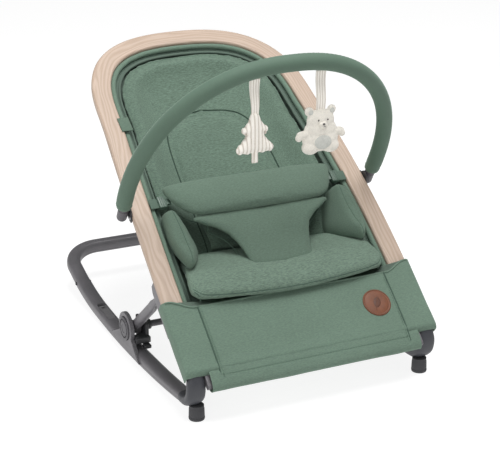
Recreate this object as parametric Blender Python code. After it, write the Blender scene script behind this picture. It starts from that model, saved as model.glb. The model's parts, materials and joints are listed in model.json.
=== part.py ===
"""Baby bouncer: a wood-rimmed reclining seat on curved rockers, with a padded toy arch.

Units are metres and +Z is up.  X runs across the seat, -Y is the foot end and +Y the head end.
Sub-parts are laid out from the front feet (y = 0) and hang on one empty, which puts the middle of
the whole object over the world origin.  Seat parts are laid out on the seat face: x across,
s up the slope from its front edge, and n above the face.
"""

import math

import bmesh
import bpy
from mathutils import Matrix, Vector

# ---------------------------------------------------------------- driving dimensions
GAP = 0.0003                    # clearance between touching pieces
ORIGIN_TO_MIDDLE = 0.31945       # from the front feet to the middle of the object's length

# seat face and wood rim
SEAT_FRONT_Y = -0.0091
SEAT_FRONT_Z = 0.0844
SEAT_TILT = math.radians(39.1)
BACK_CURL = 0.167               # how quickly the face bends backwards, per metre
BACK_CURL_START = 0.108
RIM_FRONT_HALF = 0.2309         # half widths over the wood at the front and below the head arch
RIM_HEAD_HALF = 0.2135
RIM_SIDE_BULGE = 0.0079
RIM_SIDE_LENGTH = 0.527
RIM_HEAD_LENGTH = 0.211
RIM_HEAD_POWER = 2.63           # superellipse exponent of the head arch
WOOD_WIDTH = 0.036
WOOD_THICKNESS = 0.013           # its middle lies in the seat face
WOOD_START = 0.050              # the wood ends inside the foot cover

# tubes of the seat
SEAT_TUBE_RADIUS = 0.0085
SEAT_TUBE_INSET = 0.027
SEAT_TUBE_TOE_IN = 0.014        # the tube ends turn in towards the front joints
SEAT_TUBE_START = 0.0592
FRONT_TUBE_S = -0.0205
FRONT_TUBE_DEPTH = 0.0060
FRONT_TUBE_RADIUS = 0.006
FRONT_TUBE_HALF = 0.1772
JOINT_X = (0.1778, 0.2025)
JOINT_PROFILE = ((-0.0262, -0.0095, -0.0025), (-0.0230, -0.0115, -0.0010), (0.006, -0.0135, 0.0015),
                 (0.026, -0.0150, 0.0015), (0.0380, -0.0240, -0.0075), (0.0572, -0.0240, -0.0075))
TRACK_REACH = (0.0070, -0.0060)       # outwards and inwards from the strut's blade
TRACK_WALL = 0.0016
TRACK_LOW = -0.0335
TRACK_STATIONS = (0.0880, 0.1180, 0.1480, 0.1760, 0.1860)
TRACK_END_RISE = 0.009

# rocker base
RAIL_X = 0.2175
RAIL_WIDTH = 0.028
RAIL_FRONT_HEIGHT = 0.020
RAIL_HEIGHT = 0.026
ROCKER_RADIUS = 2.0
ROCKER_LOW_Y = 0.30
ROCKER_TAIL_Y = 0.45            # behind this the rocker turns up faster
ROCKER_TAIL_CURL = 0.80
RAIL_FRONT_Y = 0.034
RAIL_REAR_Y = 0.545
CORNER_START_Y = 0.592
CORNER_RADIUS = 0.066
REAR_TUBE_Z = 0.0640
FOOT_RADIUS = 0.0115
FOOT_HEIGHT = 0.0275
LEG_PROFILE = ((0.013, 0.0310), (0.0020, 0.0365), (-0.0065, 0.0460), (-0.0100, 0.0610), (-0.0075, 0.0740),
               (-0.0010, 0.0850))
LEG_START_Y = 0.026
LEG_START_RISE = 0.0009
LEG_STATIONS = 15
LEG_BOSS_RADIUS = 0.0095
LEG_BOSS_REACH = (0.0110, -0.0135)    # from the rail's middle
PIVOT_BORE_RADIUS = 0.0045
FOOT_X = RAIL_X - 0.005
BOLT_PROFILE = ((0.0065, 0), (0.0075, 0.0008), (0.0075, 0.0022), (0.0041, 0.0022), (0.0041, 0.0440))
BOLT_HEAD_X = RAIL_X + 0.0136

# front pivot of the seat, hub of the recline struts
PIVOT_Y = 0.0052
PIVOT_Z = 0.0922
SEAT_PIVOT = (0.0, PIVOT_Y, PIVOT_Z)
HUB_Y = 0.272
HUB_Z = 0.056
STRUT_X = 0.2165
STRUT_RADIUS = 0.009
STRUT_TOP_S = 0.165
STRUT_TOP_DEPTH = 0.030
FIN_OUTER_X = 0.2350
FIN_INNER_X = 0.2275
FIN_RADIUS = 0.030
DIAL_RADIUS = 0.0215
CROSS_TUBE_RADIUS = 0.0048
HOUSING_INNER_X = 0.1990
HOUSING_PLATE = (0.2062, (0.2440, 0.0278), (0.2950, 0.0700))     # outer x, then low and high (y, z)
HOUSING_BLOCK = (0.2268, (0.2370, 0.0368), (0.2540, 0.0485))
DIAL_PROUD = 0.0025
DIAL_RINGS = ((0.0165, 0), (0.0155, 0.0009), (0.0135, 0.0009), (0.0125, 0), (0.0030, 0))
CATCH_X = (0.2015, 0.2145)
CATCH_LOW = (0.2270, 0.0292)
CATCH_HIGH = (0.2405, 0.0360)
HUB_PIN_RADIUS = 0.0040
COLLAR_X = 0.1985
COLLAR_RADIUS = 0.0080
COLLAR_LENGTH = 0.0090
STRUT_EYE_RADIUS = 0.0122
STRUT_BLADE_SHIFT = 0.0050      # how far the blade in the track stands outside the round strut

# parking feet, stowed in slots through the rails
PARKING_HINGE_Y = 0.440
PARKING_LENGTH = 0.054
PARKING_WIDTH = 0.0150

# toy arch
ARCH_HALF = 0.2410
ARCH_Y = 0.2452
ARCH_Z = 0.2875
ARCH_LEAN = math.radians(120.1)
ARCH_HEIGHT = 0.313
ARCH_POWER = 2.31
ARCH_BULGE = 0.021
ARCH_CORE_RADIUS = 0.0065
SLEEVE_RADIUS = 0.0138
SLEEVE_BORE = 0.0088
SLEEVE_START = 0.016
CORE_START = 0.0095
CAP_RADIUS = 0.0092
CAP_DROP = 0.022
CAP_TOP = 0.0090
CLIP_PIN_RADIUS = 0.0026
CLIP_FACE = (0.0012, 0.0042)     # from the wood's outer edge
CLIP_S = 0.326
CLIP_PROFILE = ((0.3080, -0.0060, 0.0010), (0.3110, -0.0075, 0.0040), (0.3180, -0.0080, 0.0110),
                (0.3260, -0.0080, 0.0130), (0.3340, -0.0080, 0.0110), (0.3450, -0.0075, 0.0040),
                (0.3500, -0.0060, 0.0010))

# toys
TREE_ANGLE = math.radians(102.5)
BEAR_ANGLE = math.radians(79.3)
RIBBON_WIDTH = 0.010
TREE_RIBBON_LENGTH = 0.058
BEAR_RIBBON_LENGTH = 0.062
TREE_THICKNESS = 0.018
TREE_OUTLINE = ((0.003, -GAP), (0.0200, -0.030), (0.0245, -0.036), (0.0140, -0.040), (0.0320, -0.066),
                (0.0350, -0.073), (0.0060, -0.077), (0.0055, -0.094))
BEAR_THICKNESS = 0.026
BEAR_OUTLINE = ((0.006, -GAP), (0.0125, -0.0010), (0.0190, -0.0005), (0.0225, -0.006), (0.0205, -0.013),
                (0.0235, -0.024), (0.0200, -0.033), (0.0360, -0.037), (0.0430, -0.045), (0.0390, -0.053),
                (0.0295, -0.054), (0.0330, -0.068), (0.0300, -0.080), (0.0160, -0.0830), (0.0040, -0.0790))

# soft parts, on the seat face
COVER_THICKNESS = 0.003
BELT_S = 0.315
CROTCH_HALF = 0.058
CROTCH_S = (0.176, 0.266)
CROTCH_LIFT = 0.0125
CROTCH_SAG = 0.008
HAMMOCK_S = (0.138, 0.6985)
BACK_PAD_S = (0.252, 0.676)
INLAY_S = (0.262, 0.525)
SEAT_PAD_S = (0.100, 0.246)
COVER_HALF = RIM_FRONT_HALF + 0.0062
COVER_STATIONS = ((-0.0040, -0.0125, 0.0090), (0.0200, -0.0130, 0.0100), (0.0450, -0.0130, 0.0108),
                  (0.0900, -0.0130, 0.0108), (0.1330, -0.0120, 0.0108))     # s, low and high n
FLAP_HALF = 0.1970
FLAP_OUTLINE = ((-0.0180, -0.0152), (-0.0260, -0.0142), (-0.0312, -0.0090), (-0.0312, -0.0020),
                (-0.0270, 0.0030), (0.0060, 0.0085), (0.0060, 0.0070), (-0.0255, 0.0012), (-0.0285, -0.0030),
                (-0.0285, -0.0080), (-0.0250, -0.0122), (-0.0180, -0.0132))     # (s, n) pairs
BELT_HALF = 0.157
WING_STATIONS = ((0.1500, 0.246, 0.008), (0.1540, 0.250, 0.016), (0.1640, 0.254, 0.022),
                 (0.1740, 0.256, 0.016), (0.1780, 0.256, 0.008))     # x, middle s, half height
WING_HALF_LENGTH = 0.042
BUCKLE_S = 0.3170
BUCKLE_N = 0.0030
BUCKLE_X = (0.1615, 0.1755)
BUCKLE_BLOCK = ((0, 0), (0.024, 0.008))
BUCKLE_SLOT_X = (0.1515, 0.1725)
BUCKLE_SLOT = ((0.0055, 0.0022), (0.0185, 0.0058))
TONGUE_X = (0.1535, 0.1710)
TONGUE_BLOCK = ((0.0062, 0.0027), (0.0178, 0.0053))
STRAP_X = (0.1760, 0.1908)
STRAP_BLOCK = ((0.002, 0.0030), (0.022, 0.0046))
BADGE_X = 0.1400
BADGE_S = 0.0600
BADGE_N = 0.0112
BADGE_PROFILE = ((0.0255, 0), (0.0255, 0.0010), (0.0245, 0.0016), (0.0200, 0.0016))
TAG_S = 0.4960
TAG_N = -0.0055
TAG_LOW = (-0.1780, 0, 0.0015)
TAG_HIGH = (-0.1640, 0.030, 0.0027)


# ---------------------------------------------------------------- small helpers
def smooth_step(value):
    """0 to 1 with level ends."""
    value = min(max(value, 0.0), 1.0)
    return value * value * (3.0 - 2.0 * value)


def signed_power(value, exponent):
    return math.copysign(abs(value) ** exponent, value)


def resample(line, count):
    """`count` evenly spaced points along a line of points."""
    line = [Vector(p) for p in line]
    lengths = [0.0]
    for a, b in zip(line, line[1:]):
        lengths.append(lengths[-1] + (b - a).length)
    result = []
    step = 0
    for i in range(count):
        target = lengths[-1] * i / (count - 1)
        while step < len(line) - 2 and lengths[step + 1] < target:
            step += 1
        span = lengths[step + 1] - lengths[step]
        result.append(line[step].lerp(line[step + 1], (target - lengths[step]) / span))
    return result


def smooth_curve(points, count):
    """Evenly spaced points on a Catmull-Rom curve through the given points."""
    points = [Vector(p) for p in points]
    ends = [2 * points[0] - points[1]] + points + [2 * points[-1] - points[-2]]
    dense = []
    for a, b, c, d in zip(ends, ends[1:], ends[2:], ends[3:]):
        for k in range(16):
            t = k / 16
            dense.append(0.5 * ((2 * b) + (c - a) * t + (2 * a - 5 * b + 4 * c - d) * t * t
                                + (3 * b - a - 3 * c + d) * t ** 3))
    dense.append(points[-1])
    return resample(dense, count)


def oval(width, height, count=12, power=2.0):
    """Section of an oval; a power over 2 makes it squarer."""
    result = []
    for i in range(count):
        angle = 2 * math.pi * (i + 0.5) / count
        result.append((width / 2 * signed_power(math.cos(angle), 2 / power),
                       height / 2 * signed_power(math.sin(angle), 2 / power)))
    return result


def soft_box(width, height, radius):
    """Section of a rectangle with two-segment rounded corners."""
    result = []
    for cx, cy, start in ((1, 1, 0), (-1, 1, 90), (-1, -1, 180), (1, -1, 270)):
        for turn in (0, 45, 90):
            angle = math.radians(start + turn)
            result.append((cx * (width / 2 - radius) + radius * math.cos(angle),
                           cy * (height / 2 - radius) + radius * math.sin(angle)))
    return result


def sweep(points, sections, hint):
    """Rings that carry a section along a line; the section's first axis is square to the hint."""
    rings = []
    for i, point in enumerate(points):
        ahead = (points[min(i + 1, len(points) - 1)] - points[max(i - 1, 0)]).normalized()
        side = ahead.cross(hint).normalized()
        top = side.cross(ahead)
        section = sections[i] if isinstance(sections[0], list) else sections
        rings.append([point + side * a + top * b for a, b in section])
    return rings


def loft(rings, closed=False):
    """Skin over rings of points.  An open skin has flat ends, a closed one joins up."""
    bm = bmesh.new()
    loops = [[bm.verts.new(point) for point in ring] for ring in rings]
    pairs = list(zip(loops, loops[1:]))
    if closed:
        pairs.append((loops[-1], loops[0]))
    for a, b in pairs:
        for i in range(len(a)):
            j = (i + 1) % len(a)
            bm.faces.new((a[i], a[j], b[j], b[i]))
    if not closed:
        bm.faces.new(list(reversed(loops[0])))
        bm.faces.new(loops[-1])
    bmesh.ops.recalc_face_normals(bm, faces=bm.faces)
    return bm


def extrude_outline(outline, start, depth):
    """A flat outline of 3D points, moved by `start` and thickened along `depth`."""
    near = [Vector(p) + Vector(start) for p in outline]
    return loft([near, [p + Vector(depth) for p in near]])


def turned(profile, centre, axis, count=20):
    """A solid turned about an axis, from (radius, distance along the axis) pairs."""
    axis = Vector(axis).normalized()
    side = axis.orthogonal().normalized()
    other = axis.cross(side)
    rings = []
    for radius, along in profile:
        ring = []
        for i in range(count):
            angle = 2 * math.pi * i / count
            ring.append(Vector(centre) + axis * along
                        + (side * math.cos(angle) + other * math.sin(angle)) * radius)
        rings.append(ring)
    return loft(rings)


def ring_solid(outer, inner, centre, axis, length, count=16):
    """A straight ring or collar."""
    profile = [(outer, 0), (outer, length), (inner, length), (inner, 0)]
    axis = Vector(axis).normalized()
    side = axis.orthogonal().normalized()
    other = axis.cross(side)
    rings = []
    for radius, along in profile:
        ring = []
        for i in range(count):
            angle = 2 * math.pi * i / count
            ring.append(Vector(centre) + axis * along
                        + (side * math.cos(angle) + other * math.sin(angle)) * radius)
        rings.append(ring)
    return loft(rings, closed=True)


def box(low, high, bevel=0.0):
    """A block between two corners, its edges rounded by `bevel`."""
    bm = bmesh.new()
    low = Vector(low)
    high = Vector(high)
    middle = (low + high) / 2
    size = high - low
    bmesh.ops.create_cube(bm, size=1.0, matrix=Matrix.Translation(middle)
                          @ Matrix.Diagonal((*size, 1.0)))
    if bevel:
        bmesh.ops.bevel(bm, geom=bm.edges[:], offset=bevel, segments=1, affect='EDGES')
    return bm


# ---------------------------------------------------------------- seat face
def rim_half_width(s):
    """Half the width over the wood at s, on the straight sides."""
    q = s / RIM_SIDE_LENGTH
    return RIM_FRONT_HALF + (RIM_HEAD_HALF - RIM_FRONT_HALF) * q + 4 * RIM_SIDE_BULGE * q * (1 - q)


def face_drop(s):
    """How far the face has bent back at s."""
    return BACK_CURL * max(0.0, s - BACK_CURL_START) ** 2


def face_tilt(s):
    return SEAT_TILT - math.atan(2 * BACK_CURL * max(0.0, s - BACK_CURL_START))


def seat_normal(s):
    return Vector((0, -math.sin(face_tilt(s)), math.cos(face_tilt(s))))


def seat_point(x, s, n=0.0):
    drop = face_drop(s)
    base = Vector((x, SEAT_FRONT_Y + s * math.cos(SEAT_TILT) + drop * math.sin(SEAT_TILT),
                   SEAT_FRONT_Z + s * math.sin(SEAT_TILT) - drop * math.cos(SEAT_TILT)))
    return base + seat_normal(s) * n


def rim_outline(start):
    """(x, s) points round the outside of the wood, from the left front end to the right one."""
    side = []
    for i in range(24):
        s = start + (RIM_SIDE_LENGTH - start) * i / 24
        side.append((rim_half_width(s), s))
    head = []
    for i in range(49):
        angle = math.pi * i / 48
        head.append((RIM_HEAD_HALF * signed_power(math.cos(angle), 2 / RIM_HEAD_POWER),
                     RIM_SIDE_LENGTH + RIM_HEAD_LENGTH * math.sin(angle) ** (2 / RIM_HEAD_POWER)))
    line = [(-x, s) for x, s in side] + [(-x, s) for x, s in head] + [(x, s) for x, s in reversed(side)]
    for _ in range(3):
        inner = [((a[0] + 2 * b[0] + c[0]) / 4, (a[1] + 2 * b[1] + c[1]) / 4)
                 for a, b, c in zip(line, line[1:], line[2:])]
        line = [line[0]] + inner + [line[-1]]
    return line


def inset_line(line, inset, count):
    """The (x, s) line moved inwards; `inset` is a number or a function of s."""
    moved = []
    for i, (x, s) in enumerate(line):
        before = line[max(i - 1, 0)]
        after = line[min(i + 1, len(line) - 1)]
        along = Vector((after[0] - before[0], after[1] - before[1])).normalized()
        distance = inset(s) if callable(inset) else inset
        moved.append((x + along[1] * distance, s - along[0] * distance, 0))
    return [(p[0], p[1]) for p in resample(moved, count)]


def seat_sweep(line, depth, section):
    """Rings of a section carried along an (x, s) line, its middle `depth` under the seat face."""
    points = [seat_point(x, s, -depth) for x, s in line]
    rings = []
    for i, point in enumerate(points):
        ahead = points[min(i + 1, len(points) - 1)] - points[max(i - 1, 0)]
        up = seat_normal(line[i][1])
        side = ahead.cross(up).normalized()
        rings.append([point + side * a + up * b for a, b in section])
    return rings


def pad(half_width, s_range, bottom, top, across=10, along=12, place=lambda v: v):
    """A closed pad on the seat face: `half_width` of v, heights of its two faces of (u, v).

    u runs from -1 to 1 across the pad and v from 0 to 1 up the slope.
    """
    bm = bmesh.new()
    layers = []
    for height in (bottom, top):
        rows = []
        for j in range(along + 1):
            v = j / along
            s = s_range[0] + (s_range[1] - s_range[0]) * place(v)
            row = []
            for i in range(across + 1):
                u = 2 * i / across - 1
                row.append(bm.verts.new(seat_point(u * half_width(v), s, height(u, v))))
            rows.append(row)
        layers.append(rows)
    for rows, flip in ((layers[0], True), (layers[1], False)):
        for a, b in zip(rows, rows[1:]):
            for i in range(across):
                quad = (a[i], a[i + 1], b[i + 1], b[i])
                bm.faces.new(tuple(reversed(quad)) if flip else quad)
    low, high = layers
    border = [(0, i) for i in range(across)] + [(j, across) for j in range(along)]
    border += [(along, i) for i in range(across, 0, -1)] + [(j, 0) for j in range(along, 0, -1)]
    for (j0, i0), (j1, i1) in zip(border, border[1:] + border[:1]):
        bm.faces.new((low[j0][i0], low[j1][i1], high[j1][i1], high[j0][i0]))
    bmesh.ops.recalc_face_normals(bm, faces=bm.faces)
    return bm


# ---------------------------------------------------------------- materials and placing
def material(name, colour, roughness, metallic=0.0):
    result = bpy.data.materials.new(name)
    result.use_nodes = True
    shader = result.node_tree.nodes["Principled BSDF"]
    shader.inputs["Base Color"].default_value = (*colour, 1.0)
    shader.inputs["Roughness"].default_value = roughness
    shader.inputs["Metallic"].default_value = metallic
    result.diffuse_color = (*colour, 1.0)
    return result


def make_materials():
    return {
        "oak": material("pale_oak", (0.60, 0.45, 0.34), 0.55),
        "grey": material("grey_painted_metal", (0.15, 0.145, 0.15), 0.50, 0.2),
        "charcoal": material("charcoal_plastic", (0.045, 0.045, 0.05), 0.50),
        "cap": material("grey_plastic", (0.12, 0.12, 0.13), 0.45),
        "rubber": material("dark_rubber", (0.05, 0.05, 0.055), 0.80),
        "steel": material("steel_pins", (0.45, 0.45, 0.46), 0.35, 1.0),
        "green": material("sage_green_fabric", (0.13, 0.24, 0.17), 0.90),
        "sleeve": material("sleeve_green_fabric", (0.09, 0.18, 0.12), 0.85),
        "green_plastic": material("sage_green_plastic", (0.14, 0.26, 0.18), 0.50),
        "leather": material("brown_leather", (0.30, 0.10, 0.06), 0.60),
        "cream": material("cream_corduroy", (0.80, 0.75, 0.68), 0.95),
    }


def make_origin():
    origin = bpy.data.objects.new("bouncer_origin", None)
    origin.location = (0, -ORIGIN_TO_MIDDLE, 0)
    bpy.context.scene.collection.objects.link(origin)
    return origin


def add_part(name, bm, finish, pivot=(0.0, 0.0, 0.0), smooth=35):
    """Turn a mesh drawn from the front feet into a named object whose origin is `pivot`."""
    bmesh.ops.translate(bm, verts=bm.verts, vec=-Vector(pivot))
    mesh = bpy.data.meshes.new(name)
    bm.to_mesh(mesh)
    bm.free()
    mesh.shade_smooth()
    mesh.set_sharp_from_angle(angle=math.radians(smooth))
    mesh.materials.append(finish)
    part = bpy.data.objects.new(name, mesh)
    part.location = pivot
    part.parent = ORIGIN
    bpy.context.scene.collection.objects.link(part)
    return part


def combine(part, bm, operation):
    """Join or cut a part with a hidden tool solid."""
    count = len(part.modifiers)
    tool = add_part(f"{part.name}_tool_{count}", bm, FINISH["charcoal"])
    tool.hide_render = True
    tool.display_type = 'WIRE'
    modifier = part.modifiers.new(f"{operation.lower()}_{count}", 'BOOLEAN')
    modifier.operation = operation
    modifier.solver = 'EXACT'
    modifier.object = tool
    return tool


def side_names():
    return (("left", -1), ("right", 1))


# ---------------------------------------------------------------- rocker base
def rocker_bottom(y):
    curl = ROCKER_TAIL_CURL * max(0.0, y - ROCKER_TAIL_Y) ** 2
    return (y - ROCKER_LOW_Y) ** 2 / (2 * ROCKER_RADIUS) + curl


def rail_height(y):
    return RAIL_FRONT_HEIGHT + (RAIL_HEIGHT - RAIL_FRONT_HEIGHT) * smooth_step(y / 0.25)


def rail_centre(side, y):
    return Vector((side * RAIL_X, y, rocker_bottom(y) + rail_height(y) / 2))


def make_rail(side, name):
    count = 20
    stations = [RAIL_FRONT_Y + (RAIL_REAR_Y - RAIL_FRONT_Y) * i / count for i in range(count + 1)]
    points = [rail_centre(side, y) for y in stations]
    sections = [oval(rail_height(y), RAIL_WIDTH, 12, 2.6) for y in stations]
    rail = add_part(f"rail_{name}", loft(sweep(points, sections, Vector((1, 0, 0)))), FINISH["grey"])
    combine(rail, fin_solid(side), 'UNION')
    combine(rail, dial_recess(side), 'DIFFERENCE')
    combine(rail, pin_solid(side, FIN_OUTER_X - 0.0035, STRUT_X + 0.001, 0.0044), 'DIFFERENCE')
    combine(rail, parking_slot(side), 'DIFFERENCE')
    return rail


def fin_solid(side):
    """The upright cheek beside the strut, growing out of the rail's outer top edge."""
    outline = []
    for degrees in range(-20, 201, 20):
        angle = math.radians(degrees)
        outline.append((0, HUB_Y + FIN_RADIUS * math.cos(angle), HUB_Z + FIN_RADIUS * math.sin(angle)))
    outline += [(0, 0.226, 0.030), (0, 0.214, 0.014), (0, 0.352, 0.014), (0, 0.330, 0.032)]
    depth = (side * (FIN_OUTER_X - FIN_INNER_X), 0, 0)
    return extrude_outline(outline, (side * FIN_INNER_X, 0, 0), depth)


def dial_recess(side):
    start = (side * (FIN_OUTER_X - 0.0045), HUB_Y, HUB_Z)
    return turned([(DIAL_RADIUS + 0.0005, 0), (DIAL_RADIUS + 0.0005, 0.02)], start, (side, 0, 0), 28)


def pin_solid(side, outer_x, inner_x, radius, y=HUB_Y, z=HUB_Z, count=16):
    """A plain pin along X between two distances from the middle."""
    length = outer_x - inner_x
    return turned([(radius, 0), (radius, length)], (side * inner_x, y, z), (side, 0, 0), count)


def parking_slot(side):
    half = PARKING_WIDTH / 2 + 0.0006
    low = (side * RAIL_X - half, PARKING_HINGE_Y - PARKING_LENGTH - 0.004, -0.01)
    high = (side * RAIL_X + half, PARKING_HINGE_Y + 0.0095, 0.08)
    return box(low, high)


def make_parking_foot(side, name):
    """A flap hinged at its rear end; it swings its front end down to the floor."""
    y1 = PARKING_HINGE_Y
    hinge = Vector((side * RAIL_X, y1, rail_centre(side, y1).z + 0.0035))
    front_y = y1 - PARKING_LENGTH
    top = RAIL_HEIGHT / 2 - 0.0015
    outline = [(y1 + 0.0080, 0.0035), (y1 + 0.0055, 0.0095), (y1, top),
               (front_y + 0.003, top), (front_y, top - 0.003), (front_y, top - 0.008),
               (front_y + 0.004, top - 0.0105), (y1 - 0.010, top - 0.0115),
               (y1 - 0.003, -0.004), (y1 + 0.0055, -0.003)]
    ring = []
    for y, up in outline:
        ring.append((-PARKING_WIDTH / 2, y, rail_centre(side, y).z + up))
    solid = extrude_outline(ring, (side * RAIL_X, 0, 0), (PARKING_WIDTH, 0, 0))
    foot = add_part(f"parking_foot_{name}", solid, FINISH["charcoal"], hinge)
    notch = box((side * RAIL_X - 0.004, front_y + 0.008, rail_centre(side, front_y).z + top - 0.002),
                (side * RAIL_X + 0.004, front_y + 0.016, rail_centre(side, front_y).z + top + 0.01))
    combine(foot, notch, 'DIFFERENCE')
    combine(foot, pin_solid(side, RAIL_X + 0.012, RAIL_X - 0.012, 0.0021, hinge.y, hinge.z, 10), 'DIFFERENCE')
    add_part(f"parking_pin_{name}", pin_solid(side, RAIL_X + 0.0078, RAIL_X - 0.0078, 0.0018, hinge.y,
                                              hinge.z, 10), FINISH["steel"], hinge)
    return foot


def make_rear_tube():
    """The bow that joins both rails behind the seat."""
    points = []
    for y in (RAIL_REAR_Y + 0.0008, 0.560, 0.575):
        points.append(rail_centre(-1, y))
    start_z = rail_centre(-1, CORNER_START_Y).z
    for i in range(11):
        turn = math.pi / 2 * i / 10
        points.append(Vector((-RAIL_X + CORNER_RADIUS * (1 - math.cos(turn)),
                              CORNER_START_Y + CORNER_RADIUS * math.sin(turn),
                              start_z + (REAR_TUBE_Z - start_z) * math.sin(turn))))
    corner_end = points[-1]
    for i in range(1, 4):
        points.append(Vector((corner_end.x * (1 - i / 4), corner_end.y, REAR_TUBE_Z)))
    mirrored = [Vector((-p.x, p.y, p.z)) for p in reversed(points)]
    middle = Vector((0, corner_end.y, REAR_TUBE_Z))
    line = points + [middle] + mirrored
    section = oval(RAIL_WIDTH - 0.0014, RAIL_HEIGHT - 0.0014, 12, 2.5)
    add_part("rear_tube", loft(sweep(line, section, Vector((0, 0, 1)))), FINISH["grey"])


def make_front_leg(side, name):
    """The elbow that stands up from the rail's front end to the seat pivot."""
    start_z = rail_centre(side, RAIL_FRONT_Y).z
    profile = [(RAIL_FRONT_Y - 0.0008, start_z), (LEG_START_Y, start_z + LEG_START_RISE), *LEG_PROFILE,
               (PIVOT_Y, PIVOT_Z)]
    points = smooth_curve([(side * RAIL_X, y, z) for y, z in profile], LEG_STATIONS)
    sections = []
    for i in range(LEG_STATIONS):
        share = i / (LEG_STATIONS - 1)
        width = RAIL_WIDTH + 0.002 * math.sin(math.pi * share) - 0.006 * smooth_step((i - 9) / 5)
        sections.append(oval(RAIL_FRONT_HEIGHT - 0.0025 * share, width, 12, 2.8))
    leg = add_part(f"front_leg_{name}", loft(sweep(points, sections, Vector((1, 0, 0)))), FINISH["grey"])
    outer, inner = (RAIL_X + reach for reach in LEG_BOSS_REACH)
    boss = pin_solid(side, outer, inner, LEG_BOSS_RADIUS, PIVOT_Y, PIVOT_Z, 18)
    combine(leg, boss, 'UNION')
    bore = pin_solid(side, RAIL_X + 0.02, RAIL_X - 0.02, PIVOT_BORE_RADIUS, PIVOT_Y, PIVOT_Z)
    combine(leg, bore, 'DIFFERENCE')
    foot_space = box((side * RAIL_X - 0.03, -0.03, -0.01), (side * RAIL_X + 0.03, 0.0125, FOOT_HEIGHT))
    combine(leg, foot_space, 'DIFFERENCE')
    return leg


def make_front_foot(side, name):
    profile = [(FOOT_RADIUS - 0.0020, 0), (FOOT_RADIUS - 0.0004, 0.0012), (FOOT_RADIUS, 0.004),
               (FOOT_RADIUS, FOOT_HEIGHT - 0.003), (FOOT_RADIUS - 0.001, FOOT_HEIGHT - GAP)]
    foot = turned(profile, (side * FOOT_X, 0, 0), (0, 0, 1), 24)
    add_part(f"front_foot_{name}", foot, FINISH["rubber"])


def make_pivot_bolt(side, name):
    """Bolt through the front leg and the frame joint; the seat folds about it."""
    start = (side * BOLT_HEAD_X, PIVOT_Y, PIVOT_Z)
    add_part(f"pivot_bolt_{name}", turned(BOLT_PROFILE, start, (-side, 0, 0), 16), FINISH["steel"])


def make_hub(side, name):
    """Housing, dial button, catch and pin at the lower end of a recline strut."""
    solids = []
    for (outer_x, low, high), bevel in ((HOUSING_PLATE, 0.002), (HOUSING_BLOCK, 0.0015)):
        x0, x1 = sorted((side * HOUSING_INNER_X, side * outer_x))
        solids.append(box((x0, *low), (x1, *high), bevel))
    plate, block = solids
    housing = add_part(f"hub_housing_{name}", plate, FINISH["charcoal"])
    combine(housing, block, 'UNION')
    bore = pin_solid(side, 0.22, 0.18, CROSS_TUBE_RADIUS + 0.0005)
    combine(housing, bore, 'DIFFERENCE')

    dial_x = FIN_OUTER_X + DIAL_PROUD
    profile = [(DIAL_RADIUS, 0.0045), (DIAL_RADIUS, 0.0012), (DIAL_RADIUS - 0.0010, 0.0002), *DIAL_RINGS]
    button = turned(profile, (side * dial_x, HUB_Y, HUB_Z), (-side, 0, 0), 20)
    add_part(f"hub_button_{name}", button, FINISH["cap"], (side * dial_x, HUB_Y, HUB_Z))

    near, far = sorted(side * x for x in CATCH_X)
    catch = box((near, *CATCH_LOW), (far, *CATCH_HIGH), 0.0012)
    middle_z = (CATCH_LOW[1] + CATCH_HIGH[1]) / 2
    add_part(f"fold_catch_{name}", catch, FINISH["charcoal"], ((near + far) / 2, CATCH_LOW[0], middle_z))

    pin = pin_solid(side, FIN_OUTER_X - 0.0052, STRUT_X - 0.0060, HUB_PIN_RADIUS)
    add_part(f"hub_pin_{name}", pin, FINISH["steel"], (side * STRUT_X, HUB_Y, HUB_Z))
    centre = (side * COLLAR_X, HUB_Y, HUB_Z)
    collar = ring_solid(COLLAR_RADIUS, CROSS_TUBE_RADIUS + GAP, centre, (-side, 0, 0), COLLAR_LENGTH)
    add_part(f"cross_tube_collar_{name}", collar, FINISH["charcoal"], centre)


# ---------------------------------------------------------------- recline struts
def make_strut(side, name):
    """Leans forward from the hub to a slotted track under the rim."""
    hub = Vector((side * STRUT_X, HUB_Y, HUB_Z))
    top = seat_point(side * STRUT_X, STRUT_TOP_S, -STRUT_TOP_DEPTH)
    along = (top - hub).normalized()
    length = (top - hub).length
    blade_shift = Vector((side * STRUT_BLADE_SHIFT, 0, 0))
    stations = [(0.004, 1.0, 1.0), (0.020, 1.0, 1.0), (0.52 * length, 1.0, 1.0), (0.61 * length, 0.95, 0.52),
                (0.66 * length, 0.90, 0.45), (0.88 * length, 0.64, 0.45), (length, 0.56, 0.45),
                (length + 0.0045, 0.30, 0.44)]
    points = []
    sections = []
    for distance, height, width in stations:
        shift = blade_shift * smooth_step((distance / length - 0.52) / 0.12)
        points.append(hub + along * distance + shift)
        sections.append(oval(2 * STRUT_RADIUS * height, 2 * STRUT_RADIUS * width, 14))
    strut = add_part(f"strut_{name}", loft(sweep(points, sections, Vector((1, 0, 0)))), FINISH["grey"], hub)
    eye = pin_solid(side, STRUT_X + STRUT_RADIUS, STRUT_X - STRUT_RADIUS, STRUT_EYE_RADIUS, count=20)
    combine(strut, eye, 'UNION')
    bore = pin_solid(side, STRUT_X + 0.02, STRUT_X - 0.0064, HUB_PIN_RADIUS + 0.0004)
    combine(strut, bore, 'DIFFERENCE')
    return strut


def make_cross_tube():
    half = STRUT_X - STRUT_RADIUS - GAP
    profile = [(CROSS_TUBE_RADIUS, 0), (CROSS_TUBE_RADIUS, 2 * half)]
    tube = turned(profile, (-half, HUB_Y, HUB_Z), (1, 0, 0), 14)
    add_part("cross_tube", tube, FINISH["charcoal"], (0, HUB_Y, HUB_Z))


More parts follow.
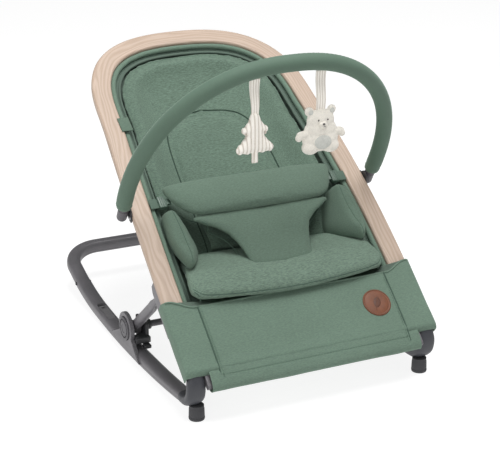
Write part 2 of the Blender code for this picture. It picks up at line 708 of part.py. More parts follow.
# ---------------------------------------------------------------- seat frame
def make_wood_rim():
    line = inset_line(rim_outline(WOOD_START), WOOD_WIDTH / 2, 46)
    rings = seat_sweep(line, 0, soft_box(WOOD_WIDTH, WOOD_THICKNESS, 0.004))
    add_part("wood_rim", loft(rings), FINISH["oak"], SEAT_PIVOT, smooth=50)


def tube_inset(s):
    return SEAT_TUBE_INSET + SEAT_TUBE_TOE_IN * smooth_step((0.135 - s) / 0.07)


def make_seat_tube():
    line = inset_line(rim_outline(SEAT_TUBE_START), tube_inset, 40)
    depth = WOOD_THICKNESS / 2 + SEAT_TUBE_RADIUS + 0.0006
    section = oval(2 * SEAT_TUBE_RADIUS, 2 * SEAT_TUBE_RADIUS, 8)
    add_part("seat_tube", loft(seat_sweep(line, depth, section)), FINISH["grey"], SEAT_PIVOT)


def make_front_tube():
    ends = [seat_point(side * FRONT_TUBE_HALF, FRONT_TUBE_S, -FRONT_TUBE_DEPTH) for side in (-1, 1)]
    section = oval(2 * FRONT_TUBE_RADIUS, 2 * FRONT_TUBE_RADIUS, 12)
    add_part("front_tube", loft(sweep(ends, section, Vector((0, 0, 1)))), FINISH["grey"], SEAT_PIVOT)


def make_frame_joint(side, name):
    """Moulded joint that holds the end of the seat tube and the front tube and turns on the bolt."""
    x0, x1 = sorted(side * x for x in JOINT_X)
    rings = []
    for s, low, high in JOINT_PROFILE:
        rings.append([seat_point(x0, s, low), seat_point(x1, s, low), seat_point(x1, s, high),
                      seat_point(x0, s, high)])
    joint = add_part(f"frame_joint_{name}", loft(rings), FINISH["charcoal"], (side * 0.19, PIVOT_Y, PIVOT_Z))
    combine(joint, pin_solid(side, 0.21, 0.17, PIVOT_BORE_RADIUS, PIVOT_Y, PIVOT_Z), 'DIFFERENCE')


def make_strut_track(side, name):
    """Channel under the rim in which the top of the strut slides as the seat reclines."""
    outer, inner = (STRUT_X + STRUT_BLADE_SHIFT + reach for reach in TRACK_REACH)
    top = -WOOD_THICKNESS / 2 - 0.0006
    low = TRACK_LOW
    outline = [(outer, top), (outer, low), (outer - TRACK_WALL, low), (outer - TRACK_WALL, top - TRACK_WALL),
               (inner + TRACK_WALL, top - TRACK_WALL), (inner + TRACK_WALL, low), (inner, low), (inner, top)]
    rings = []
    for s in TRACK_STATIONS:
        rise = TRACK_END_RISE * smooth_step((s - 0.170) / 0.016)
        ring = []
        for x, n in outline:
            lifted = n + rise if n == low else n
            ring.append(seat_point(side * x, s, lifted))
        rings.append(ring)
    add_part(f"strut_track_{name}", loft(rings), FINISH["charcoal"], SEAT_PIVOT, smooth=30)


# ---------------------------------------------------------------- toy arch
def arch_point(angle):
    """Middle line of the arch; angle 0 is the right end and pi the left one."""
    height = ARCH_HEIGHT * abs(math.sin(angle)) ** (2 / ARCH_POWER)
    share = height / ARCH_HEIGHT
    spread = 1 + 4 * ARCH_BULGE * share * (1 - share)
    x = ARCH_HALF * signed_power(math.cos(angle), 2 / ARCH_POWER) * spread
    return Vector((x, ARCH_Y + height * math.cos(ARCH_LEAN), ARCH_Z + height * math.sin(ARCH_LEAN)))


def arch_line(start, count):
    """Evenly spaced points from the left leg to the right one, from `start` up each leg."""
    dense = [arch_point(math.pi * (1 - i / 240)) for i in range(241)]
    kept = [p for p in dense if (p.z - ARCH_Z) / math.sin(ARCH_LEAN) > start]
    return resample(kept, count)


def arch_axis():
    return Vector((0, math.cos(ARCH_LEAN), math.sin(ARCH_LEAN)))


def make_arch():
    hint = Vector((0, -math.sin(ARCH_LEAN), math.cos(ARCH_LEAN)))
    pivot = (0, ARCH_Y, ARCH_Z)
    core_section = oval(2 * ARCH_CORE_RADIUS, 2 * ARCH_CORE_RADIUS, 6)
    core = loft(sweep(arch_line(CORE_START, 24), core_section, hint))
    add_part("arch_core", core, FINISH["grey"], pivot)
    line = arch_line(SLEEVE_START, 28)
    outer = sweep(line, oval(2 * SLEEVE_RADIUS, 2 * SLEEVE_RADIUS, 10), hint)
    inner = sweep(line, oval(2 * SLEEVE_BORE, 2 * SLEEVE_BORE, 10), hint)
    sleeve = loft(outer + list(reversed(inner)), closed=True)
    add_part("arch_sleeve", sleeve, FINISH["sleeve"], pivot)
    for name, side in side_names():
        foot = Vector((side * ARCH_HALF, ARCH_Y, ARCH_Z))
        profile = [(0.0040, -CAP_DROP), (0.0078, -CAP_DROP + 0.0022), (CAP_RADIUS, -CAP_DROP + 0.0070),
                   (CAP_RADIUS, CAP_TOP - 0.001), (CAP_RADIUS - 0.001, CAP_TOP)]
        cap = add_part(f"arch_cap_{name}", turned(profile, foot, arch_axis(), 18), FINISH["cap"], foot)
        bore_radius = CLIP_PIN_RADIUS + 0.0005
        bore = pin_solid(side, ARCH_HALF + 0.0010, ARCH_HALF - 0.02, bore_radius, ARCH_Y, ARCH_Z, 12)
        combine(cap, bore, 'DIFFERENCE')


def make_arch_clip(side, name):
    """Clip screwed to the rim's outer edge; its pin carries the arch."""
    edge = rim_half_width(CLIP_S)
    x0, x1 = sorted(side * (edge + face) for face in CLIP_FACE)
    rings = []
    for s, low, high in CLIP_PROFILE:
        rings.append([seat_point(x0, s, low), seat_point(x1, s, low), seat_point(x1, s, high),
                      seat_point(x0, s, high)])
    clip = add_part(f"arch_clip_{name}", loft(rings), FINISH["charcoal"], SEAT_PIVOT)
    pin = pin_solid(side, ARCH_HALF - 0.0012, edge + 0.0020, CLIP_PIN_RADIUS, ARCH_Y, ARCH_Z, 12)
    combine(clip, pin, 'UNION')


# ---------------------------------------------------------------- toys
def toy_anchor(angle):
    """Place just under the arch where a ribbon hangs."""
    ahead = (arch_point(angle + 0.01) - arch_point(angle - 0.01)).normalized()
    level = math.sqrt(1 - ahead.z ** 2)
    drop = SLEEVE_RADIUS / level + RIBBON_WIDTH / 2 * abs(ahead.z) / level + 0.0008
    return arch_point(angle) - Vector((0, 0, drop))


def make_ribbon(name, angle, length, pivot):
    top = toy_anchor(angle)
    low = top - Vector((0, 0, length))
    half = RIBBON_WIDTH / 2
    ribbon = box((top.x - half, top.y - 0.0010, low.z), (top.x + half, top.y + 0.0010, top.z), 0.0003)
    add_part(name, ribbon, FINISH["cream"], pivot)
    return low


def flat_toy(name, outline, low_point, thickness, pivot):
    """A stuffed toy from half an outline of (x, z) pairs, mirrored about its middle."""
    ring = list(outline) + [(-x, z) for x, z in reversed(outline) if x > 0]
    centre_z = sum(z for _, z in ring) / len(ring)
    rings = []
    for y, shrink in ((-0.5, 0.72), (-0.28, 0.94), (0.0, 1.0), (0.28, 0.94), (0.5, 0.72)):
        rings.append([Vector((low_point.x + x * shrink, low_point.y + y * thickness,
                              low_point.z + centre_z + (z - centre_z) * shrink)) for x, z in ring])
    add_part(name, loft(rings), FINISH["cream"], pivot, smooth=60)


def make_toys():
    tree_pivot = toy_anchor(TREE_ANGLE)
    low = make_ribbon("tree_ribbon", TREE_ANGLE, TREE_RIBBON_LENGTH, tree_pivot)
    flat_toy("tree_toy", TREE_OUTLINE, low, TREE_THICKNESS, tree_pivot)
    bear_pivot = toy_anchor(BEAR_ANGLE)
    low = make_ribbon("bear_ribbon", BEAR_ANGLE, BEAR_RIBBON_LENGTH, bear_pivot)
    flat_toy("bear_toy", BEAR_OUTLINE, low, BEAR_THICKNESS, bear_pivot)


# ---------------------------------------------------------------- soft goods
def hammock_height(u, s):
    """Height of the hammock cloth's upper face: level with the rim at its edges, sagging between."""
    sag = 0.064 * smooth_step((s - 0.10) / 0.14) * (1 - 0.50 * smooth_step((s - 0.40) / 0.30))
    return -0.0065 - sag * (1 - abs(u) ** 2.4)


def inner_half(s):
    """Half width of the opening inside the wood, also in the head arch."""
    if s <= RIM_SIDE_LENGTH:
        return rim_half_width(s) - WOOD_WIDTH
    share = min((s - RIM_SIDE_LENGTH) / (RIM_HEAD_LENGTH - WOOD_WIDTH), 1.0)
    return (RIM_HEAD_HALF - WOOD_WIDTH) * (1 - share ** RIM_HEAD_POWER) ** (1 / RIM_HEAD_POWER)


def make_hammock():
    s0, s1 = HAMMOCK_S

    def place(v):
        """Rows draw together towards the head, where the outline turns fastest."""
        return 1 - (1 - v) ** 1.9

    def half(v):
        return inner_half(s0 + (s1 - s0) * place(v)) - 0.0010

    def top(u, v):
        return hammock_height(u, s0 + (s1 - s0) * place(v))

    def bottom(u, v):
        return top(u, v) - COVER_THICKNESS

    cloth = pad(half, (s0, s1), bottom, top, 12, 14, place)
    add_part("hammock", cloth, FINISH["green"], SEAT_PIVOT, smooth=60)


def make_foot_cover():
    """Cloth cover over the front frame: a lid that is open underneath, longer between the legs."""
    half = COVER_HALF
    wall = COVER_THICKNESS
    rings = []
    for s, low, high in COVER_STATIONS:
        outline = [(0.001 - half, low), (-half, low + 0.008), (-half, high - 0.004), (-half + 0.004, high),
                   (half - 0.004, high), (half, high - 0.004), (half, low + 0.008), (half - 0.001, low),
                   (half - 0.001 - wall, low), (half - wall, high - 0.0048), (half - 0.0048, high - wall),
                   (0.0048 - half, high - wall), (wall - half, high - 0.0048), (wall + 0.001 - half, low)]
        rings.append([seat_point(x, s, n) for x, n in outline])
    cover = add_part("foot_cover", loft(rings), FINISH["green"], SEAT_PIVOT, smooth=50)
    rings = [[seat_point(x, s, n) for s, n in FLAP_OUTLINE] for x in (-FLAP_HALF, FLAP_HALF)]
    combine(cover, loft(rings), 'UNION')


def make_pads():
    def back_half(v):
        return 0.160 - 0.022 * v - 0.105 * smooth_step((v - 0.72) / 0.28) ** 2

    s0, s1 = BACK_PAD_S

    def rest(u, v, half, low, high):
        """Height of the hammock under a pad, measured on the hammock's own width."""
        s = low + (high - low) * v
        return hammock_height(u * half(v) / max(inner_half(s), 0.05), s)

    def back_bottom(u, v):
        return rest(u, v, back_half, s0, s1) + 0.0030

    def back_top(u, v):
        return back_bottom(u, v) + 0.006 + 0.014 * (1 - abs(u) ** 4) * (1 - abs(2 * v - 1) ** 6)

    back = pad(back_half, (s0, s1), back_bottom, back_top, 10, 10)
    add_part("back_pad", back, FINISH["green"], SEAT_PIVOT, smooth=60)

    def inlay_half(v):
        return 0.100 * (1 - 0.02 * v) * (1 - smooth_step((v - 0.60) / 0.40) ** 2 * 0.62)

    t0, t1 = INLAY_S

    def inlay_bottom(u, v):
        s = t0 + (t1 - t0) * v
        back_v = (s - s0) / (s1 - s0)
        return back_top(u * inlay_half(v) / back_half(back_v), back_v) + 0.0008

    def inlay_top(u, v):
        return inlay_bottom(u, v) + 0.003 + 0.007 * (1 - abs(u) ** 4) * (1 - abs(2 * v - 1) ** 6)

    inlay = pad(inlay_half, (t0, t1), inlay_bottom, inlay_top, 8, 10)
    add_part("inlay_pad", inlay, FINISH["green"], SEAT_PIVOT, smooth=60)

    def seat_half(v):
        return 0.180 - 0.030 * v - 0.050 * (1 - smooth_step(v / 0.22)) ** 2

    f0, f1 = SEAT_PAD_S

    def seat_bottom(u, v):
        s = f0 + (f1 - f0) * v
        on_cover = 0.0125
        sag = hammock_height(u * seat_half(v) / max(inner_half(s), 0.05), s) + 0.0045
        lift = smooth_step((s - 0.140) / 0.03)
        return on_cover * (1 - lift) + max(sag, -0.052) * lift

    def seat_top(u, v):
        front = 0.035 - 0.070 * smooth_step(v)
        edge = (1 - abs(u) ** 4)
        return max(front - 0.016 * (1 - edge), seat_bottom(u, v) + 0.008)

    seat = pad(seat_half, (f0, f1), seat_bottom, seat_top, 10, 10)
    add_part("seat_pad", seat, FINISH["green"], SEAT_PIVOT, smooth=60)


def make_side_wing(side, name):
    """Stuffed wedge between the seat pad and the belt on one side."""
    rings = []
    for x, s_mid, height in WING_STATIONS:
        ring = []
        for i in range(12):
            angle = 2 * math.pi * (i + 0.5) / 12
            s = s_mid + WING_HALF_LENGTH * math.cos(angle)
            n = 0.004 - 0.012 * math.cos(angle) + height * math.sin(angle)
            ring.append(seat_point(side * x, s, n))
        rings.append(ring)
    add_part(f"side_wing_{name}", loft(rings), FINISH["green"], SEAT_PIVOT, smooth=60)


def make_belt():
    """Padded waist belt across the seat, with the crotch pad that joins it to the seat pad."""
    stations = 16
    rings = []
    for i in range(stations + 1):
        u = 2 * i / stations - 1
        x = BELT_HALF * u
        wide = 0.012 + 0.034 * (1 - abs(u) ** 2.6)
        thick = 0.006 + 0.014 * (1 - abs(u) ** 2.2)
        s_mid = BELT_S + 0.022 * abs(u) ** 1.8
        ring = []
        for k in range(12):
            angle = 2 * math.pi * (k + 0.5) / 12
            ring.append(seat_point(x, s_mid + wide * math.cos(angle),
                                   0.020 - 0.006 * math.cos(angle) + thick * math.sin(angle)))
        rings.append(ring)
    add_part("waist_belt", loft(rings), FINISH["green"], SEAT_PIVOT, smooth=60)

    def crotch_half(v):
        return CROTCH_HALF + 0.010 * v - 0.012 * (1 - smooth_step(v / 0.3)) ** 2

    def crotch_bottom(_, v):
        return CROTCH_LIFT + 0.004 * v - CROTCH_SAG * smooth_step(v) * (1 - v)

    def crotch_top(u, v):
        return crotch_bottom(u, v) + 0.006 + 0.005 * (1 - abs(u) ** 4)

    crotch = pad(crotch_half, CROTCH_S, crotch_bottom, crotch_top, 8, 8)
    add_part("crotch_pad", crotch, FINISH["green"], SEAT_PIVOT, smooth=60)


def make_buckle(side, name):
    """Ladder buckle: the frame stays on the side strap, the tongue is on the belt."""
    place = seat_frame_matrix(BUCKLE_S, BUCKLE_N)

    def block(across, corners, bevel):
        x0, x1 = sorted(side * x for x in across)
        solid = box((x0, *corners[0]), (x1, *corners[1]), bevel)
        bmesh.ops.transform(solid, matrix=place, verts=solid.verts)
        return solid

    frame = block(BUCKLE_X, BUCKLE_BLOCK, 0.0012)
    socket = add_part(f"buckle_socket_{name}", frame, FINISH["green_plastic"], SEAT_PIVOT)
    combine(socket, block(BUCKLE_SLOT_X, BUCKLE_SLOT, 0), 'DIFFERENCE')
    pivot = seat_point(side * (BUCKLE_X[0] + BUCKLE_X[1]) / 2, BUCKLE_S + 0.012, BUCKLE_N + 0.007)
    tongue = block(TONGUE_X, TONGUE_BLOCK, 0.0006)
    add_part(f"buckle_tongue_{name}", tongue, FINISH["green_plastic"], pivot)
    add_part(f"side_strap_{name}", block(STRAP_X, STRAP_BLOCK, 0.0005), FINISH["green"], SEAT_PIVOT)


def seat_frame_matrix(s, n):
    """Places a block drawn in x, s, n axes at one spot on the seat face."""
    tilt = face_tilt(s)
    turn = Matrix.Rotation(tilt, 4, 'X')
    return Matrix.Translation(seat_point(0, s, n)) @ turn


def make_badge():
    centre = seat_point(BADGE_X, BADGE_S, BADGE_N)
    badge = turned(BADGE_PROFILE, centre, seat_normal(BADGE_S), 32)
    add_part("leather_badge", badge, FINISH["leather"], SEAT_PIVOT)


def make_side_tag():
    tag = box(TAG_LOW, TAG_HIGH, 0.0004)
    bmesh.ops.transform(tag, matrix=seat_frame_matrix(TAG_S, TAG_N), verts=tag.verts)
    add_part("side_tag", tag, FINISH["sleeve"], SEAT_PIVOT)


# ---------------------------------------------------------------- assembly
for old in list(bpy.data.objects):
    bpy.data.objects.remove(old)

FINISH = make_materials()
ORIGIN = make_origin()

for side_name, side_sign in side_names():
    make_rail(side_sign, side_name)
    make_front_leg(side_sign, side_name)
    make_front_foot(side_sign, side_name)
    make_pivot_bolt(side_sign, side_name)
    make_hub(side_sign, side_name)
    make_parking_foot(side_sign, side_name)
    make_strut(side_sign, side_name)
    make_frame_joint(side_sign, side_name)
    make_strut_track(side_sign, side_name)
    make_arch_clip(side_sign, side_name)
    make_side_wing(side_sign, side_name)
    make_buckle(side_sign, side_name)
make_rear_tube()
make_cross_tube()
make_wood_rim()
make_seat_tube()
make_front_tube()
make_arch()
make_toys()
make_hammock()
make_foot_cover()
make_pads()
make_belt()
make_badge()
make_side_tag()
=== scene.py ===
"""Looks of the baby bouncer: every visible surface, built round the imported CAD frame.

Lengths are metres in the frame's axes: X across the seat, +Y to the head end, +Z up.  Seat pieces are
laid out on the seat face: x across, s up the slope from its front edge, and n above the face.  A solid is
a pair of points and faces, and a profile is a list of (radius, distance) pairs.
"""

import json
import math

import bmesh
import bpy
import numpy as np
from mathutils import Matrix, Vector, noise
from mathutils.bvhtree import BVHTree


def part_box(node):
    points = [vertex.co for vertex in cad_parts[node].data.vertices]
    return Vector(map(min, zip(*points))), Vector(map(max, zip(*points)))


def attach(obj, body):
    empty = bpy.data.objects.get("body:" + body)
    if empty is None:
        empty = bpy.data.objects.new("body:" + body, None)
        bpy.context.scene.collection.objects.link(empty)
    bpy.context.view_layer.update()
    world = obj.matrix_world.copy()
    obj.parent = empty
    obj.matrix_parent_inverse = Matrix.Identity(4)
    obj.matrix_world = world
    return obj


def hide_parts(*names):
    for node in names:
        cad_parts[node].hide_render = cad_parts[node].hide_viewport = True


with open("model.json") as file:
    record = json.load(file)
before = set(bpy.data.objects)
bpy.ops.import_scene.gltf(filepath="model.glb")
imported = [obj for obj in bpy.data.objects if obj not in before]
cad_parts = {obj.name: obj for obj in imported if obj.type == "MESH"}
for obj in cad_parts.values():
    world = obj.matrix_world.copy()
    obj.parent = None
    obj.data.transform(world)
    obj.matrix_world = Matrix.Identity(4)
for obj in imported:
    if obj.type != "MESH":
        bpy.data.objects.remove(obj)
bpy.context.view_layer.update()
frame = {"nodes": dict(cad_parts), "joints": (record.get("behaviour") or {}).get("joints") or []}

JOINTS = {joint["name"]: joint for joint in frame["joints"]}
SIDES = (("left", -1), ("right", 1))

# ---------------------------------------------------------------- driving dimensions
PIVOT = Vector(JOINTS["seat_fold"]["pos_m"])
HUB = Vector(JOINTS["strut_swing"]["pos_m"])
ARCH_FOOT = Vector(JOINTS["arch_swing"]["pos_m"])
FEET_Y = (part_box("front_foot_left")[0].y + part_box("front_foot_left")[1].y) / 2

SEAT_FRONT = PIVOT + Vector((0, -0.0143, -0.0078))
SEAT_TILT = math.radians(39.1)
BACK_CURL = 0.167
BACK_CURL_START = 0.108
RIM_FRONT_HALF = 0.2309
RIM_HEAD_HALF = 0.2135
RIM_SIDE_BULGE = 0.0079
RIM_SIDE_LENGTH = 0.527
RIM_HEAD_LENGTH = 0.211
RIM_HEAD_POWER = 2.63
WOOD_WIDTH = 0.036
WOOD_THICKNESS = 0.013
BOWL_DEPTH = 0.064
BOWL_REACH = 0.178              # from the wood's inner edge to where the bowl is deepest
POCKET_TOP_S = 0.133            # upper edge of the foot cover
POCKET_DIP = 0.128              # how far that edge dips between the rails, as a share
PAD_INSET = 0.0555              # from the wood's outer edge to the back pad's edge
TUBE_INSET = 0.027              # from the wood's outer edge to the tube under it
TUBE_DEPTH = WOOD_THICKNESS / 2 + 0.0085 + 0.0006
CLAMP_STATIONS = (0.24, 0.42, 0.56)

ARCH_HALF = 0.2410
ARCH_LEAN = math.radians(120.1)
ARCH_HEIGHT = 0.313
ARCH_POWER = 2.31
ARCH_BULGE = 0.021
SLEEVE_RADIUS = 0.0146
CAP_RADIUS = 0.0092
CLIP_START, CLIP_LENGTH = 0.3060, 0.0325

RAIL_X = 0.2175
RAIL_WIDTH = 0.028
RAIL_HEIGHT = 0.026
RAIL_FRONT_HEIGHT = 0.020
RAIL_START, RAIL_END = 0.034, 0.545
STRUT_X = 0.2165
STRUT_WIDTH = 0.018
CHEEK_INNER, CHEEK_OUTER, CHEEK_RADIUS = 0.2272, 0.2350, 0.030
CASE_INNER = 0.1990

ACROSS = (1, 0, 0)
FORE = (0, 1, 0)
UP = (0, 0, 1)
SEAT_UP = (0, -0.6, 0.8)


# ---------------------------------------------------------------- numbers
def smooth_step(value):
    value = np.clip(value, 0.0, 1.0)
    return value * value * (3.0 - 2.0 * value)


def signed_power(value, exponent):
    return np.sign(value) * np.abs(value) ** exponent


def dome(share):
    """Height of a quarter circle as a share runs from 0 at its foot to 1 at its crown."""
    return np.sqrt(np.clip(1 - (1 - np.clip(share, 0, 1)) ** 2, 0, 1))


def unit(rows):
    return rows / np.linalg.norm(rows, axis=1)[:, None]


def travelled(line):
    """Distance along a line of points up to each of them."""
    return np.concatenate([[0], np.cumsum(np.linalg.norm(np.diff(line, axis=0), axis=1))])


def resample(line, count):
    """Evenly spaced points along a line of points, 2D or 3D."""
    line = np.asarray(line, float)
    lengths = travelled(line)
    wanted = np.linspace(0, lengths[-1], count)
    return np.stack([np.interp(wanted, lengths, column) for column in line.T], axis=1)


def smooth_curve(points, count):
    """Evenly spaced points on a Catmull-Rom curve through the given points."""
    points = np.asarray(points, float)
    ends = np.vstack([2 * points[0] - points[1], points, 2 * points[-1] - points[-2]])
    dense = []
    for a, b, c, d in zip(ends, ends[1:], ends[2:], ends[3:]):
        for t in np.arange(24) / 24:
            dense.append(0.5 * (2 * b + (c - a) * t + (2 * a - 5 * b + 4 * c - d) * t ** 2
                                + (3 * b - a - 3 * c + d) * t ** 3))
    return resample([*dense, points[-1]], count)


def smoothed(line, rounds=4):
    line = np.array(line)
    for _ in range(rounds):
        line[1:-1] = (line[:-2] + 2 * line[1:-1] + line[2:]) / 4
    return line


def mirrored(half, count):
    """A closed outline from the points of its right half."""
    right = smooth_curve(half, count)
    return np.vstack([right, (right * (-1, 1))[::-1][1:-1]])


def both_ways(half):
    """A line right across the seat from the points of its right half, centre first."""
    return [(-x, s) for x, s in half[:0:-1]] + list(half)


def closed_below(line, count):
    """An outline closed by a straight row of points from its end to its start."""
    bottom = np.linspace(line[-1][0], line[0][0], count + 2)[1:-1]
    return np.vstack([line, np.stack([bottom, np.full(count, line[0][1])], axis=1)])


def distance_to_line(points, line):
    """Distance of each point from the nearest point of a dense line of points."""
    best = np.empty(len(points))
    for start in range(0, len(points), 4000):
        part = points[start:start + 4000]
        best[start:start + 4000] = np.linalg.norm(part[:, None, :] - line[None, :, :], axis=2).min(axis=1)
    return best


# ---------------------------------------------------------------- seat face
def face_tilt(s):
    return SEAT_TILT - np.arctan(2 * BACK_CURL * np.maximum(0.0, s - BACK_CURL_START))


def seat_points(x, s, n):
    """World points of arrays of x, s and n."""
    x, s, n = np.broadcast_arrays(np.asarray(x, float), s, n)
    drop = BACK_CURL * np.maximum(0.0, s - BACK_CURL_START) ** 2
    tilt = face_tilt(s)
    y = SEAT_FRONT.y + s * math.cos(SEAT_TILT) + drop * math.sin(SEAT_TILT) - n * np.sin(tilt)
    z = SEAT_FRONT.z + s * math.sin(SEAT_TILT) - drop * math.cos(SEAT_TILT) + n * np.cos(tilt)
    return np.stack([x, y, z], axis=-1)


def seat_point(x, s, n=0.0):
    return Vector(seat_points(x, s, n).tolist())


def seat_normal(s):
    tilt = float(face_tilt(s))
    return Vector((0, -math.sin(tilt), math.cos(tilt)))


def on_face(line, n):
    """World points and normals of (x, s) pairs at a height above the seat face."""
    line = np.asarray(line, float)
    return seat_points(line[:, 0], line[:, 1], n), [tuple(seat_normal(s)) for s in line[:, 1]]


def seat_matrix(s, n):
    """Carries a piece drawn in x, s, n axes to one spot on the seat face."""
    return Matrix.Translation(seat_point(0, s, n)) @ Matrix.Rotation(float(face_tilt(s)), 4, 'X')


def rim_half_width(s):
    q = s / RIM_SIDE_LENGTH
    return RIM_FRONT_HALF + (RIM_HEAD_HALF - RIM_FRONT_HALF) * q + 4 * RIM_SIDE_BULGE * q * (1 - q)


def rim_line(start, inset, count):
    """(x, s) points from the left front end round the head to the right, inset from the wood's edge."""
    s = np.linspace(start, RIM_SIDE_LENGTH, 90)[:-1]
    side = np.stack([rim_half_width(s), s], axis=1)
    angle = np.linspace(0, math.pi, 181)
    head = np.stack([RIM_HEAD_HALF * signed_power(np.cos(angle), 2 / RIM_HEAD_POWER),
                     RIM_SIDE_LENGTH + RIM_HEAD_LENGTH * np.sin(angle) ** (2 / RIM_HEAD_POWER)], axis=1)
    line = smoothed(resample(np.vstack([side * (-1, 1), head * (-1, 1), side[::-1]]), 400), 60)
    along = unit(np.gradient(line, axis=0))
    return resample(line + np.stack([along[:, 1], -along[:, 0]], axis=1) * inset, count)


RIM_INNER = rim_line(0.0, WOOD_WIDTH, 700)


def rim_gap(x, s):
    """Distance of each x and s from the wood's inner edge."""
    x, s = np.broadcast_arrays(np.asarray(x, float), np.asarray(s, float))
    return distance_to_line(np.stack([x.ravel(), s.ravel()], axis=1), RIM_INNER).reshape(x.shape)


def bowl(x, s):
    """How far the cloth hangs below the rim, growing with the distance from the rim's inner edge."""
    u = 1 - np.clip(rim_gap(x, s) / BOWL_REACH, 0, 1)
    depth = BOWL_DEPTH * smooth_step((s - 0.10) / 0.14) * (1 - 0.30 * smooth_step((s - 0.40) / 0.30))
    return depth * (1 - u ** 2.4)


# ---------------------------------------------------------------- making pieces
def make(name, solid, finish, body="seat", node=None, smooth=60):
    """A piece from a solid.  A finish is (material, slot), and `node` names the CAD solid it replaces."""
    points, faces = solid
    mesh = bpy.data.meshes.new(name)
    mesh.from_pydata([tuple(p) for p in points], [], [tuple(f) for f in faces])
    bm = bmesh.new()
    bm.from_mesh(mesh)
    bmesh.ops.recalc_face_normals(bm, faces=bm.faces)
    bm.to_mesh(mesh)
    bm.free()
    mesh.shade_smooth()
    if smooth < 180:
        mesh.set_sharp_from_angle(angle=math.radians(smooth))
    mesh.materials.append(finish[0])
    piece = bpy.data.objects.new(name, mesh)
    bpy.context.scene.collection.objects.link(piece)
    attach(piece, body)
    if node:
        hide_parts(node)
    return piece


def skin(rings, closed=False):
    """A skin over equal rings of points, capped unless the last ring joins the first."""
    rings = np.asarray(rings, float)
    count, around = rings.shape[:2]
    faces = []
    for i in range(count if closed else count - 1):
        a = i * around
        b = ((i + 1) % count) * around
        for k in range(around):
            m = (k + 1) % around
            faces.append((a + k, a + m, b + m, b + k))
    if not closed:
        faces.append(tuple(range(around))[::-1])
        faces.append(tuple(range((count - 1) * around, count * around)))
    return rings.reshape(-1, 3), faces


def frames_along(line, hint, closed=False):
    """Side and top directions at each point of a line; `hint` is one direction or one for each point."""
    line = np.asarray(line, float)
    ahead = np.roll(line, -1, axis=0) - np.roll(line, 1, axis=0) if closed else np.gradient(line, axis=0)
    ahead = unit(ahead)
    side = unit(np.cross(ahead, np.broadcast_to(np.asarray(hint, float), line.shape)))
    return side, np.cross(side, ahead)


def sweep(line, section, hint, closed=False):
    """Rings carrying a section, one for all points or one for each, along a line."""
    side, top = frames_along(line, hint, closed)
    section = np.asarray(section, float)
    if section.ndim == 2:
        section = np.broadcast_to(section, (len(line), *section.shape))
    return (np.asarray(line)[:, None, :] + section[:, :, :1] * side[:, None, :]
            + section[:, :, 1:] * top[:, None, :])


def oval(width, height, count=40, power=2.0):
    angle = 2 * math.pi * (np.arange(count) + 0.5) / count
    return np.stack([width / 2 * signed_power(np.cos(angle), 2 / power),
                     height / 2 * signed_power(np.sin(angle), 2 / power)], axis=1)


def circle(radius, count):
    return oval(2 * radius, 2 * radius, count)


def soft_box(width, height, radius, corner, flat):
    """Section of a rectangle with rounded corners and points along its flats."""
    ring = []
    for cx, cy, start in ((1, 1, 0), (-1, 1, 90), (-1, -1, 180), (1, -1, 270)):
        for angle in np.radians(start + np.linspace(0, 90, corner)):
            ring.append((cx * (width / 2 - radius) + radius * math.cos(angle),
                         cy * (height / 2 - radius) + radius * math.sin(angle)))
    dense = []
    for a, b in zip(ring, ring[1:] + ring[:1]):
        steps = flat if math.dist(a, b) > radius else 1
        for k in range(steps):
            dense.append((a[0] + (b[0] - a[0]) * k / steps, a[1] + (b[1] - a[1]) * k / steps))
    return np.array(dense)


def tube(name, line, radius, finish, sides, hint=SEAT_UP, body="seat", closed=False):
    """A round cord or tube, a loop or with domed ends."""
    line = np.asarray(line, float)
    sections = circle(radius, sides)
    if not closed:
        angle = np.linspace(0, math.pi / 2, 6)[1:]
        reach = np.sin(angle)[:, None] * radius
        scale = np.maximum(np.cos(angle), 0.04)
        scale = np.concatenate([scale[::-1], np.ones(len(line)), scale])
        first, last = unit(np.array([line[0] - line[1], line[-1] - line[-2]]))
        line = np.vstack([(line[0] + first * reach)[::-1], line, line[-1] + last * reach])
        sections = sections[None] * scale[:, None, None]
    return make(name, skin(sweep(line, sections, hint, closed), closed), finish, body)


def turned(profile, centre, axis, count=48):
    """A solid turned about an axis."""
    axis = Vector(axis).normalized()
    side = axis.orthogonal().normalized()
    angle = 2 * math.pi * np.arange(count) / count
    around = np.outer(np.cos(angle), side) + np.outer(np.sin(angle), axis.cross(side))
    return skin([np.array(centre) + np.array(axis) * along + around * radius for radius, along in profile])


def pin(radius, length):
    """Profile of a plain round pin."""
    return [(radius, 0), (radius, length)]


def boss(radius, length, bevel, steps=4):
    """Profile of a round boss with its two edges rounded off."""
    profile = [(0.0005, 0), (radius, 0), (radius, length), (0.0005, length)]
    result = [profile[0]]
    for points in zip(profile, profile[1:], profile[2:]):
        before, corner, after = (Vector(point) for point in points)
        reach = min(bevel, (before - corner).length / 2.2, (after - corner).length / 2.2)
        start = corner + (before - corner).normalized() * reach
        end = corner + (after - corner).normalized() * reach
        for t in np.arange(steps + 1) / steps:
            result.append(tuple(start * (1 - t) ** 2 + corner * 2 * t * (1 - t) + end * t * t))
    return result + [profile[-1]]


def solid_of(bm):
    bm.verts.index_update()
    solid = [v.co.copy() for v in bm.verts], [[v.index for v in f.verts] for f in bm.faces]
    bm.free()
    return solid


def block(low, high, bevel, segments=3, matrix=None):
    """A block with rounded edges."""
    bm = bmesh.new()
    low, high = Vector(low), Vector(high)
    place = Matrix.Translation((low + high) / 2) @ Matrix.Diagonal((*(high - low), 1.0))
    bmesh.ops.create_cube(bm, size=1.0, matrix=place)
    bmesh.ops.bevel(bm, geom=bm.edges[:], offset=bevel, segments=segments, affect='EDGES', profile=0.5)
    if matrix is not None:
        bmesh.ops.transform(bm, matrix=matrix, verts=bm.verts)
    return solid_of(bm)


